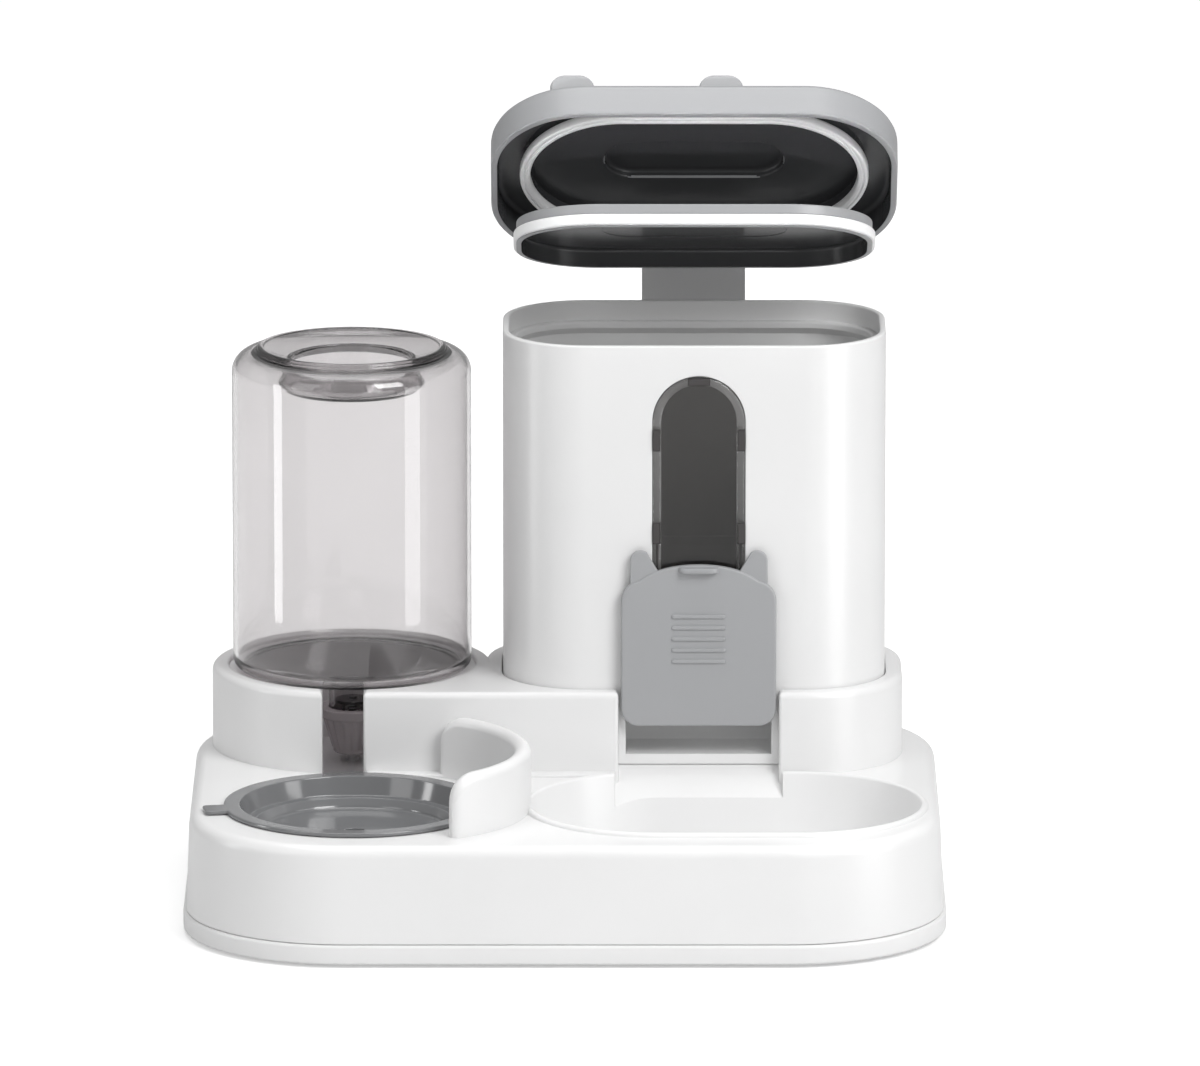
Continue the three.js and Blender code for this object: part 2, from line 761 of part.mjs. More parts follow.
// Water bottle, upside down: neck below, and a grip well in what is now its top
function bottleOutside() {
  const shoulder = roundedEdge(bottleTop - bottleRingHeight, bottleShoulderRadius)
    .map(({ inset, z }) => [bottleRadius - inset, z]);
  const heel = roundedFoot(bottleSeat, bottleHeelRadius)
    .map(({ inset, z }) => [bottleRadius - inset, z]);
  const edge = smallEdge;
  return [
    [neckRadius, neckEnd], [neckRadius, neckTop], [wellRadius - bottleClearance, bottleSeat],
    ...heel, ...shoulder,
    [bottleRingRadius + edge, bottleTop - bottleRingHeight], [bottleRingRadius, bottleTop - edge],
    [bottleRingRadius - edge, bottleTop], [bottleRingRadius - bottleWall, bottleTop],
    [gripMouthRadius + edge, bottleTop - gripMouthDrop], [gripMouthRadius, bottleTop - gripMouthDrop - edge],
    [gripFloorRadius, bottleTop - gripDepth + bottleWall],
    [gripFloorRadius - bottleWall, bottleTop - gripDepth], [0, bottleTop - gripDepth],
  ];
}

function bottleInside() {
  const wall = bottleWall;
  const inner = bottleRadius - wall;
  const top = bottleTop - bottleRingHeight - wall;
  const bottom = bottleSeat + wall;
  return [
    [0, bottleTop - gripDepth - wall], [gripFloorRadius, bottleTop - gripDepth - wall],
    [gripFloorRadius + wall, bottleTop - gripDepth + wall],
    [gripMouthRadius + wall, bottleTop - gripMouthDrop - 2 * wall],
    [inner - bottleShoulderRadius + wall, top], [inner, top - bottleShoulderRadius + wall],
    [inner, bottom + bottleHeelRadius], [inner - bottleHeelRadius, bottom],
    [neckRadius - neckWall, neckTop + wall / 2], [neckRadius - neckWall, neckEnd],
    [neckRadius, neckEnd],
  ];
}

function waterBottle() {
  return turned([...bottleOutside(), ...bottleInside()], bottleX, bottleY);
}

// Bottle cap: a band, a ribbed cone and a web with the valve hole
function ribbedCircle(radius, depth) {
  const points = capRibCount * 2;
  return Array.from({ length: points }, (_, i) => {
    const angle = 2 * Math.PI * i / points;
    const reach = i % 2 ? radius : radius - depth;
    return new THREE.Vector2(reach * Math.cos(angle), reach * Math.sin(angle));
  });
}

function bottleCap() {
  const bandBottom = capTop - capBandHeight;
  const cone = stack([
    { outline: ribbedCircle(capMouthRadius, 0), z: capMouthHeight },
    { outline: ribbedCircle(capMouthRadius + capRibDepth, capRibDepth), z: capMouthHeight + capWall },
    { outline: ribbedCircle(capConeRadius, capRibDepth), z: bandBottom },
  ], bottleX, bottleY);
  const band = turned([
    [0, bandBottom - smallEdge / 2], [capBandRadius - smallEdge, bandBottom - smallEdge / 2],
    [capBandRadius, bandBottom + smallEdge], [capBandRadius, capTop - smallEdge],
    [capBandRadius - smallEdge, capTop], [0, capTop],
  ], bottleX, bottleY, capFacets);
  const bore = bar(neckRadius + fitGap, capBoreFloor, capTop + overrun,
    bottleX, bottleY, capFacets);
  const chamber = bar(cageRadius + fitGap, capWebTop, neckEnd, bottleX, bottleY, capFacets);
  const mouth = bar(capMouthRadius - capWall, capMouthHeight - overrun, capWebHeight,
    bottleX, bottleY, capFacets);
  const hole = bar(valveHoleRadius, capWebHeight - overrun, capWebTop + overrun, bottleX, bottleY);
  return cut(join(cone, band), bore, chamber, mouth, hole);
}

function capGasket() {
  const bottom = capBoreFloor + fitGap;
  return ringBetween(cageRadius + 2 * fitGap, neckRadius - fitGap, bottom, bottom + gasketThickness);
}

// A plain ring about the bottle axis
function ringBetween(inner, outer, bottom, top) {
  return turned([
    [inner, bottom], [outer, bottom], [outer, top], [inner, top], [inner, bottom],
  ], bottleX, bottleY, smallFacets);
}

function valveStem() {
  return turned([
    [0, stemTip], [valveRodRadius - smallEdge / 2, stemTip], [valveRodRadius, stemTip + smallEdge],
    [valveRodRadius, valveDiscBottom], [valveDiscRadius, valveDiscBottom],
    [valveDiscRadius, valveDiscTop], [valveRodRadius, valveDiscTop],
    [valveRodRadius, cageTop + overrun], [0, cageTop + overrun],
  ], bottleX, bottleY, smallFacets);
}

function valveSeal() {
  return ringBetween(valveRodRadius + fitGap, valveDiscRadius, valveSealBottom,
    valveSealBottom + valveSealThickness);
}

// Cage over the valve: a foot ring, legs and a guide for the rod
function valveCage() {
  const guide = ringBetween(valveRodRadius + fitGap, cageRadius, cageTop - cageWall, cageTop);
  const footRing = ringBetween(cageRadius - cageWall, cageRadius, cageBottom, cageBottom + cageWall);
  const legs = Array.from({ length: cageLegCount }, (_, i) => {
    const angle = 2 * Math.PI * i / cageLegCount;
    const middle = cageRadius - cageWall / 2;
    return bar(cageWall / 2, cageBottom, cageTop - cageWall / 2,
      bottleX + middle * Math.cos(angle), bottleY + middle * Math.sin(angle), cornerFacets);
  });
  return join(guide, footRing, ...legs);
}

class Helix extends THREE.Curve {
  constructor(radius, bottom, top, turns) {
    super();
    Object.assign(this, { radius, bottom, top, turns });
  }

  getPoint(share, target = new THREE.Vector3()) {
    const angle = 2 * Math.PI * this.turns * share;
    const z = THREE.MathUtils.lerp(this.bottom, this.top, share);
    return target.set(this.radius * Math.cos(angle), this.radius * Math.sin(angle), z);
  }
}

function valveSpring() {
  const wire = springWire / 2;
  const bottom = valveDiscTop + wire + fitGap;
  const top = cageTop - cageWall - wire - fitGap;
  const section = new THREE.Shape();
  section.absarc(0, 0, wire, 0, 2 * Math.PI);
  const geometry = new THREE.ExtrudeGeometry(section, {
    steps: springTurns * springStepsPerTurn, curveSegments: springSides, bevelEnabled: false,
    extrudePath: new Helix(springRadius, bottom, top, springTurns),
  });
  geometry.translate(bottleX, bottleY, 0);
  return toSolid(geometry);
}

// Food bin: shell, ledge for the inner lid, shelf for the hopper, window, outlet and gate slots
function binOutline(inset) {
  return roundRect(binWidth - 2 * inset, binDepth - 2 * inset, binCornerRadius - inset);
}

function hopperMouthOutline(grow) {
  const width = outletWidth - 2 * fitGap + 2 * grow;
  const depth = hopperMouthDepth + 2 * grow;
  const shiftX = frontCentreX - binX;
  const shiftY = -binDepth / 2 + hopperSeat + hopperRim - grow + depth / 2;
  return roundRect(width, depth, smallEdge * 2 + grow)
    .map((point) => new THREE.Vector2(point.x + shiftX, point.y + shiftY));
}

function binColumn(inset, bottom, top) {
  return stack(straight(bottom, top).map(({ z }) => ({ outline: binOutline(inset), z })), binX, binY);
}

// A shelf round the sides and the rear, on which the hopper stands
function hopperShelf() {
  const top = hopperTop - hopperRimHeight - shelfDrop;
  const bottom = top - shelfHeight;
  const front = box(
    [binX - binWidth, binFront - overrun, bottom - overrun],
    [binX + binWidth, binFront + binCornerRadius, top + overrun]);
  return cut(binColumn(binWall / 2, bottom, top),
    binColumn(binWall + shelfWidth, bottom - overrun, top + overrun), front);
}

function foodBin() {
  const at = (levels) => stack(levels, binX, binY);
  const edge = roundedEdge(binTop, smallEdge)
    .map(({ inset, z }) => ({ outline: binOutline(inset), z }));
  const shell = at([{ outline: binOutline(0), z: binSeat }, ...edge]);
  const ledge = binWall + binLedgeWidth;
  const inside = at([
    { outline: binOutline(binWall), z: binSeat - overrun },
    { outline: binOutline(binWall), z: binLedge - binLedgeSlope },
    { outline: binOutline(ledge), z: binLedge - binLedgeSlope / 2 },
    { outline: binOutline(ledge), z: binLedge },
  ]);
  const collar = binColumn(binWall, binLedge - smallEdge / 2, binTop + overrun);
  const outlet = box(
    [frontCentreX - outletWidth / 2, binFront - overrun, hopperFloor],
    [frontCentreX + outletWidth / 2, binFront + binWall + overrun, hopperFloor + outletHeight]);
  const window = upright(windowShape(fitGap, windowBottom - fitGap),
    binFront - overrun, binFront + binWall + overrun);
  const flangePocket = upright(
    windowShape(windowFlange + fitGap, windowBottom - windowFlange - fitGap),
    binFront + binWall, binFront + binWall + windowFlangeThickness + 2 * fitGap);
  const body = cut(join(shell, hingeChannel()), join(inside, collar), outlet, window, flangePocket);
  return cut(join(body, hopperShelf()), ...gateSlots());
}

// Hopper: a funnel inside the bin, open in front for the outlet, the window and the gate's lugs
function binHopper() {
  const at = (levels) => stack(levels, binX, binY);
  const rimBottom = hopperTop - hopperRimHeight;
  const outside = at([
    { outline: hopperMouthOutline(binWall), z: hopperFloor - binWall },
    { outline: binOutline(hopperSeat), z: rimBottom },
    { outline: binOutline(hopperSeat), z: hopperTop },
  ]).intersect(binColumn(hopperSeat, binSeat, hopperTop + overrun));
  const inside = at([
    { outline: hopperMouthOutline(0), z: hopperFloor },
    { outline: binOutline(hopperSeat + hopperRim), z: rimBottom },
    { outline: binOutline(hopperSeat + hopperRim), z: hopperTop + overrun },
  ]);
  const half = gateLugX + gateLugHead / 2 + 2 * fitGap;
  const back = binFront + hopperSeat + Math.max(windowFlangeThickness, gateLugHeadThickness);
  const front = box([frontCentreX - half, binFront, hopperFloor],
    [frontCentreX + half, back + 2 * fitGap, hopperTop + overrun]);
  return cut(outside, inside, front);
}

function hingeChannel() {
  const half = plateWidth / 2 + fitGap;
  const bottom = channelTop - channelLength;
  const front = binRear - binWall / 2;
  const back = binRear + fitGap + plateThickness + fitGap + channelWall;
  return join(...[-1, 1].map((side) => {
    const inner = binX + side * half;
    const outer = binX + side * (half + channelWall);
    const lip = binX + side * (half - channelLip);
    const span = (a, b, front) =>
      box([Math.min(a, b), front, bottom], [Math.max(a, b), back, channelTop]);
    return join(span(inner, outer, front), span(lip, outer, back - channelWall));
  }), box([binX - half, front, bottom], [binX + half, back, bottom + channelWall]));
}

function gateSlots() {
  const half = gateLugWidth / 2 + fitGap;
  const low = gateLugCentre - gateLugHeight / 2 - gateTravelDown - overrun / 2;
  const high = gateLugCentre + gateLugHeight / 2 + gateTravelUp + overrun / 2;
  return [-1, 1].map((side) => {
    const x = frontCentreX + side * gateLugX;
    return box([x - half, binFront - overrun, low], [x + half, binFront + binWall + overrun, high]);
  });
}

// Window: an arched pane with a raised rim, held by a flange inside the wall and by clips
function windowShape(grow, bottom) {
  const half = windowWidth / 2 + grow;
  const shape = new THREE.Shape();
  shape.moveTo(frontCentreX - half, bottom);
  shape.lineTo(frontCentreX + half, bottom);
  shape.lineTo(frontCentreX + half, windowTop - windowWidth / 2);
  shape.absarc(frontCentreX, windowTop - windowWidth / 2, half, 0, Math.PI, false);
  return shape;
}

function clipPlaces() {
  const straightTop = windowTop - windowWidth / 2;
  const half = windowWidth / 2 - clipWidth / 2;
  const sides = clipHeightShares.flatMap((share) => [-1, 1].map((side) => ({
    x: frontCentreX + side * half,
    z: THREE.MathUtils.lerp(windowBottom, straightTop, share) + clipLength,
    width: clipWidth,
    height: clipLength,
  })));
  const crownHeight = windowTop - clipWidth / 2 - smallEdge;
  const crown = { x: frontCentreX, z: crownHeight, width: clipLength, height: clipWidth };
  return [crown, ...sides];
}

function clipBlock({ x, z, width, height }, grow) {
  const front = binFront - windowProud - smallEdge / 2;
  return box(
    [x - width / 2 - grow, front - grow, z - height / 2 - grow],
    [x + width / 2 + grow, binFront + binWall - smallEdge + grow, z + height / 2 + grow]);
}

function windowPane() {
  const front = binFront - windowProud;
  const plug = upright(windowShape(0, windowBottom), front, binFront + binWall + fitGap);
  const flange = upright(windowShape(windowFlange, windowBottom - windowFlange),
    binFront + binWall + fitGap, binFront + binWall + fitGap + windowFlangeThickness);
  const relief = upright(windowShape(-windowRim, windowBottom + windowRim), front - overrun,
    front + windowRelief);
  return cut(join(plug, flange), relief, ...clipPlaces().map((place) => clipBlock(place, fitGap)));
}

// Sliding gate: an arched plate with ears, a handle, grip ribs and lugs through the slots
function gatePlate() {
  const half = gateWidth / 2;
  const corner = gateCornerRadius;
  const brow = gateShoulder + corner / 4;
  const shape = new THREE.Shape();
  shape.moveTo(frontCentreX - half + corner, gateBottom);
  shape.lineTo(frontCentreX + half - corner, gateBottom);
  shape.absarc(frontCentreX + half - corner, gateBottom + corner, corner,
    -Math.PI / 2, 0, false);
  shape.lineTo(frontCentreX + half, gateShoulder - corner);
  shape.quadraticCurveTo(frontCentreX + half, gateShoulder, frontCentreX + half - corner, brow);
  shape.quadraticCurveTo(frontCentreX + half / 2, gateCrown, frontCentreX, gateCrown);
  shape.quadraticCurveTo(frontCentreX - half / 2, gateCrown, frontCentreX - half + corner, brow);
  shape.quadraticCurveTo(frontCentreX - half, gateShoulder,
    frontCentreX - half, gateShoulder - corner);
  shape.lineTo(frontCentreX - half, gateBottom + corner);
  shape.absarc(frontCentreX - half + corner, gateBottom + corner, corner,
    Math.PI, Math.PI * 3 / 2, false);
  return upright(shape, gateFront, gateBack);
}

function gateEar(side) {
  const outer = frontCentreX + side * (gateWidth / 2 - gateCornerRadius / 2);
  const shape = new THREE.Shape();
  const tip = earTip(gateEarWidth);
  const sweep = Math.PI * gateEarSweepShare;
  shape.moveTo(outer, gateShoulder - gateCornerRadius / 2);
  shape.lineTo(outer, gateShoulder + gateEarHeight - tip);
  shape.absarc(outer - side * tip, gateShoulder + gateEarHeight - tip, tip,
    side > 0 ? 0 : Math.PI, side > 0 ? sweep : Math.PI - sweep, side < 0);
  shape.lineTo(outer - side * gateEarWidth, gateShoulder + gateCornerRadius / 2);
  shape.lineTo(outer - side * gateEarWidth, gateShoulder - gateCornerRadius / 2);
  const front = gateFront + gateThickness / 3;
  return upright(shape, front, front + gateEarThickness);
}

const earTip = (width) => width / 3;

function gateLug(side) {
  const x = frontCentreX + side * gateLugX;
  const low = gateLugCentre - gateLugHeight / 2;
  const high = gateLugCentre + gateLugHeight / 2;
  const wallBack = binFront + binWall + fitGap;
  const neck = box([x - gateLugWidth / 2, gateBack - smallEdge, low],
    [x + gateLugWidth / 2, wallBack + smallEdge, high]);
  const head = box([x - gateLugHead / 2, wallBack, low],
    [x + gateLugHead / 2, wallBack + gateLugHeadThickness, high]);
  return join(neck, head);
}

function feedGate() {
  const handle = block(gateHandleWidth, 2 * gateHandleReach, gateHandleReach - fitGap,
    straight(gateCrown - gateHandleHeight - smallEdge, gateCrown - smallEdge), frontCentreX, gateFront);
  const ribs = Array.from({ length: gripRibCount }, (_, i) => {
    const z = gripCentreHeight + (i - (gripRibCount - 1) / 2) * gripRibPitch;
    const half = gripRibWidth / 2;
    return box([frontCentreX - half, gateFront - gripRibProud, z - gripRibHeight / 2],
      [frontCentreX + half, gateFront + gripRibProud, z + gripRibHeight / 2]);
  });
  const handleFront = cut(handle, box(
    [frontCentreX - gateHandleWidth, gateBack, gateBottom],
    [frontCentreX + gateHandleWidth, gateBack + gateHandleReach * 2, gateCrown + overrun]));
  const sides = [-1, 1].flatMap((side) => [gateEar(side), gateLug(side)]);
  return join(gatePlate(), handleFront, ...ribs, ...sides);
}

// Hinge pieces, drawn with the plate pushed home and the lids closed
function knuckle(offset, width) {
  const x = binX + offset;
  return barAlongX(knuckleRadius, x - width / 2, x + width / 2, pivotY, pivotHeight);
}

const pinBore = () =>
  barAlongX(steelPinRadius + knuckleGap / 2, binX - plateWidth, binX + plateWidth, pivotY, pivotHeight);

function hingePlate() {
  const front = binRear + fitGap;
  const back = front + plateThickness;
  const half = plateWidth / 2;
  const low = pivotHeight - knuckleRadius - plateLength;
  const high = pivotHeight - knuckleRadius;
  const slab = box([binX - half, front, low], [binX + half, back, high]);
  const ribs = [-1, 1].map((side) => {
    const inner = binX + side * (half - plateRibWidth - channelLip * 2);
    const outer = binX + side * (half - channelLip * 2);
    return box([Math.min(inner, outer), back - smallEdge, low],
      [Math.max(inner, outer), back + plateRibProud, high]);
  });
  const arm = box([binX - plateKnuckleWidth / 2, front, high - smallEdge],
    [binX + plateKnuckleWidth / 2, pivotY, pivotHeight]);
  const strut = box([binX - plateKnuckleWidth / 2, front, high - knuckleRadius],
    [binX + plateKnuckleWidth / 2, pivotY, high + smallEdge]);
  return cut(join(slab, ...ribs, arm, strut, knuckle(0, plateKnuckleWidth)), pinBore());
}

function hingePin() {
  const half = outerKnuckleX + outerKnuckleWidth / 2 + 2 * fitGap;
  return join(
    barAlongX(steelPinRadius, binX - half, binX + half, pivotY, pivotHeight),
    barAlongX(steelPinRadius * 2, binX + half, binX + half + steelPinRadius, pivotY, pivotHeight));
}

function lidArm(offset, width, reachFront, low, high) {
  const x = binX + offset;
  const arm = box([x - width / 2, reachFront, low], [x + width / 2, pivotY, high]);
  return join(arm, knuckle(offset, width));
}

// Outer lid: a dished cover with a skirt, a recess for the fingers and two ears on top
function lidBlock(inset, levels) {
  const width = outerLidWidth - 2 * inset;
  const depth = outerLidDepth - 2 * inset;
  return block(width, depth, outerLidCorner - inset, levels, binX, binY);
}

function lidEar(share) {
  const half = earWidth / 2;
  const tip = earTip(earWidth);
  const x = binX + share * outerLidWidth;
  const foot = outerLidTop - outerLidEdge;
  const top = outerLidTop + earHeight;
  const shape = new THREE.Shape();
  shape.moveTo(x - half, foot);
  shape.lineTo(x + half, foot);
  shape.lineTo(x + half, top - tip - smallEdge);
  shape.absarc(x + half - tip, top - tip, tip, 0, Math.PI / 2, false);
  shape.absarc(x - half + tip, top - tip, tip, Math.PI / 2, Math.PI, false);
  const front = binY - outerLidDepth / 2 + earSetback;
  return upright(shape, front, front + earThickness);
}

function ringOutline(width, depth) {
  return roundRect(width, depth, depth / 2);
}

function ovalRing(width, depth, thickness, bottom, top) {
  const at = (inset, low, high) => stack([low, high].map((z) =>
    ({ outline: ringOutline(width - 2 * inset, depth - 2 * inset), z })), binX, binY);
  return cut(at(0, bottom, top), at(thickness, bottom - overrun, top + overrun));
}

function outerLid() {
  const underside = outerLidTop - outerLidWall;
  const recessTop = underside + lidRecessHeight;
  const body = lidBlock(0, [
    { inset: 0, z: outerLidBottom }, ...roundedEdge(outerLidTop, outerLidEdge),
  ]);
  const inside = lidBlock(outerLidWall, straight(outerLidBottom - overrun, underside));
  const bossOf = (grow, levels) => block(lidRecessWidth + 2 * grow, lidRecessDepth + 2 * grow,
    lidRecessDepth / 2 + grow, levels, binX, binY);
  const boss = bossOf(outerLidWall, [
    { inset: 0, z: underside }, ...roundedEdge(recessTop + outerLidWall, outerLidWall / 2),
  ]);
  const recess = bossOf(0, [
    { inset: 0, z: underside - overrun }, ...roundedEdge(recessTop, lidRecessHeight / 2),
  ]);
  const ribInset = (ringThickness - ringRibThickness) / 2;
  const rib = ovalRing(ringWidth - 2 * ribInset, ringDepth - 2 * ribInset, ringRibThickness,
    innerLidTop + fitGap + ringHeight + fitGap, underside + smallEdge);
  const half = outerKnuckleX + outerKnuckleWidth / 2 + 2 * steelPinRadius;
  const skirtGap = box(
    [binX - half - knuckleGap, binY + outerLidDepth / 2 - outerLidWall - overrun, outerLidBottom - overrun],
    [binX + half + knuckleGap, binY + outerLidDepth / 2 + overrun, underside]);
  const rear = binY + outerLidDepth / 2;
  const inner = rear - outerLidWall;
  const arms = [-1, 1].map((side) => {
    const x = binX + side * outerKnuckleX;
    const post = box([x - outerKnuckleWidth / 2, inner, pivotHeight],
      [x + outerKnuckleWidth / 2, rear - smallEdge, underside + smallEdge]);
    return join(post, lidArm(side * outerKnuckleX, outerKnuckleWidth, inner,
      pivotHeight, pivotHeight + knuckleRadius));
  });
  const ears = earPlaceShares.map(lidEar);
  const shell = cut(join(cut(body, inside), boss, ...ears), recess, skirtGap);
  return cut(join(shell, rib, ...arms), pinBore());
}

function outerLidSeal() {
  const bottom = innerLidTop + fitGap;
  return ovalRing(ringWidth, ringDepth, ringThickness, bottom, bottom + ringHeight);
}

// Inner lid: a shallow dish, open below, with a groove for its seal
function innerBlock(inset, levels) {
  const width = innerLidWidth - 2 * inset;
  const depth = innerLidDepth - 2 * inset;
  return block(width, depth, innerLidCornerRadius - inset, levels, binX, binY);
}

function innerLid() {
  const grooveBottom = innerLidTop - innerLidFlange - innerSealHeight - fitGap;
  const body = innerBlock(0, [
    { inset: 0, z: innerLidBottom }, ...roundedEdge(innerLidTop, smallEdge),
  ]);
  const grooveDepth = innerLidWall / 2;
  const groove = cut(innerBlock(-overrun, straight(grooveBottom, innerLidTop - innerLidFlange)),
    innerBlock(grooveDepth, straight(grooveBottom - overrun, innerLidTop)));
  const inside = innerBlock(innerLidWall, straight(innerLidBottom - overrun, innerLidTop - innerLidWall));
  const pad = block(innerRecessWidth, innerRecessDepth, innerRecessDepth / 2,
    straight(innerLidTop - innerLidWall - smallEdge, innerLidTop - innerLidWall + smallEdge / 2),
    binX, binY);
  const reach = binY + innerLidDepth / 2 - innerLidWall * 2;
  const pastRing = binY + ringDepth / 2 + 4 * fitGap;
  const low = binTop + fitGap;
  const arms = [-1, 1].map((side) => {
    const x = binX + side * innerKnuckleX;
    const foot = box([x - innerKnuckleWidth / 2, reach, low],
      [x + innerKnuckleWidth / 2, pastRing + overrun, innerLidTop]);
    return join(foot, lidArm(side * innerKnuckleX, innerKnuckleWidth, pastRing, low,
      pivotHeight + knuckleRadius - fitGap));
  });
  return cut(join(cut(body, groove, inside, pad), ...arms), pinBore());
}

function innerLidSeal() {
  const top = innerLidTop - innerLidFlange - fitGap / 2;
  const levels = [
    ...roundedFoot(top - innerSealHeight, innerSealHeight / 4),
    ...roundedEdge(top, innerSealHeight / 4),
  ];
  return cut(innerBlock(-innerSealProud, levels),
    innerBlock(innerLidWall / 2 - fitGap, straight(top - innerSealHeight - overrun, top + overrun)));
}

// The assembly
function piece(name, solid, look) {
  const mesh = new THREE.Mesh(toGeometry(solid), look);
  mesh.name = name;
  return mesh;
}

const numbered = (name, places, make, look) =>
  places.map((place, i) => piece(`${name}_${i + 1}`, make(place), look));

// A lid turned open about the hinge pin
function opened(angle, ...meshes) {
  const turnedLid = new THREE.Group();
  turnedLid.position.set(0, pivotY, pivotHeight);
  turnedLid.rotation.x = -angle;
  const back = new THREE.Group();
  back.position.set(0, -pivotY, -pivotHeight);
  back.add(...meshes);
  turnedLid.add(back);
  return turnedLid;
}

const lids = new THREE.Group();
lids.position.z = plateRaised;
lids.add(
  piece("hinge_plate", hingePlate(), greyPlastic),
  piece("hinge_pin", hingePin(), steel),
  opened(outerLidOpen,
    piece("outer_lid", outerLid(), greyPlastic),
    piece("outer_lid_seal", outerLidSeal(), softSeal)),
  opened(innerLidOpen,
    piece("inner_lid", innerLid(), greyPlastic),
    piece("inner_lid_seal", innerLidSeal(), softSeal)),
);

const feeder = new THREE.Group();
feeder.add(
  piece("base_tray", baseTray(), whitePlastic),
  piece("bottom_cover", bottomCover(), whitePlastic),
  ...numbered("rubber_foot", footPlaces(), foot, rubber),
  ...numbered("cover_screw", screwPlaces(), coverScrew, steel),
  piece("water_bowl", waterBowl(), greyPlastic),
  piece("water_bottle", waterBottle(), smokyClear),
  piece("bottle_cap", bottleCap(), darkPlastic),
  piece("cap_gasket", capGasket(), softSeal),
  piece("valve_stem", valveStem(), darkPlastic),
  piece("valve_seal", valveSeal(), rubber),
  piece("valve_cage", valveCage(), darkPlastic),
  piece("valve_spring", valveSpring(), steel),
  piece("food_bin", foodBin(), whitePlastic),
  piece("bin_hopper", binHopper(), whitePlastic),
  piece("window_pane", windowPane(), clearPane),
  ...numbered("window_clip", clipPlaces(), (place) => clipBlock(place, 0), darkPlastic),
  piece("feed_gate", feedGate(), greyPlastic),
  lids,
);

export default feeder;
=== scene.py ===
"""A gravity pet feeder, dressed for a studio picture: fine shells over the fixed frame, moulded
plastic, clear plastic and silicone finishes, floor, lamps and camera. Metres, +Z up, bowls to -Y."""

import math

import bmesh
import bpy
from bpy.props import FloatProperty, FloatVectorProperty, IntProperty, PointerProperty
from mathutils import Matrix, Vector


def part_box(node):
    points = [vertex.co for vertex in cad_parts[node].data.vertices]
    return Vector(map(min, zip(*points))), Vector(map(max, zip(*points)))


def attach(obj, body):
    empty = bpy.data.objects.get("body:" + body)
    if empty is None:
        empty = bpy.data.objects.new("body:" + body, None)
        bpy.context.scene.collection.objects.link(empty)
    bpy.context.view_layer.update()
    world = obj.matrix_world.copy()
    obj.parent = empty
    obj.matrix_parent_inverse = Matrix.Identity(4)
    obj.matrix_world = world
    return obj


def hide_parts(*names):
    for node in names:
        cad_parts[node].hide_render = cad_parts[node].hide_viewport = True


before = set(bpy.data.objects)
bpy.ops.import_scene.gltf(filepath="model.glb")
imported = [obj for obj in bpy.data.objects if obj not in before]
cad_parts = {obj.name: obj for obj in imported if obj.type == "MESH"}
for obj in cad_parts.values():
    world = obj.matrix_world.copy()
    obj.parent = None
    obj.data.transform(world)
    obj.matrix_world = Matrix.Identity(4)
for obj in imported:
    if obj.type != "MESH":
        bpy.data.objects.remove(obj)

bl_info = {
    "name": "Gravity Pet Feeder",
    "version": (1, 0, 0),
    "blender": (4, 5, 0),
    "location": "3D View > Sidebar > Feeder",
    "description": "Builds a gravity pet feeder's shells, finishes and studio around its frame",
    "category": "Object",
}

# Steps on a quarter corner, on a small edge and on a full turn
CORNER_STEPS = 14
EDGE_STEPS = 5
ROUND_STEPS = 112
# Steps round the window's bead, and a quarter and a half turn
BEAD_ANGLES = [math.radians(a) for a in (0, 20, 40, 60, 80, 90)]
QUARTER, HALF = math.pi / 2, math.pi

# How far a cutting tool reaches past what it cuts, the gap between pieces, and the least radius
OVERRUN = 0.001
HAIR_GAP = 0.0003
EDGE_LEAST = 0.0001

# Points nearer than this are one, and edges that bend more than this stay sharp
MERGE_DISTANCE = 1e-7
SHARP_ANGLE = math.radians(34)


def length(name, description, default):
    """A size in metres that a user may change."""
    return FloatProperty(
        name=name, description=description, default=default, unit="LENGTH", precision=4)


def angle(name, description, degrees):
    """An angle that a user may change, given in degrees."""
    return FloatProperty(
        name=name, description=description, default=math.radians(degrees), subtype="ANGLE")


def share(name, description, default):
    """A share from 0 to 1 that a user may change."""
    return FloatProperty(
        name=name, description=description, default=default, subtype="FACTOR", min=0, max=1)


def number(name, description, default):
    """A plain number that a user may change."""
    return FloatProperty(name=name, description=description, default=default)


def power(name, description, default):
    """A lamp's power that a user may change."""
    return FloatProperty(name=name, description=description, default=default, unit="POWER")


def colour(name, description, default):
    """A colour that a user may change."""
    return FloatVectorProperty(
        name=name, description=description, default=default, subtype="COLOR", min=0, max=1)


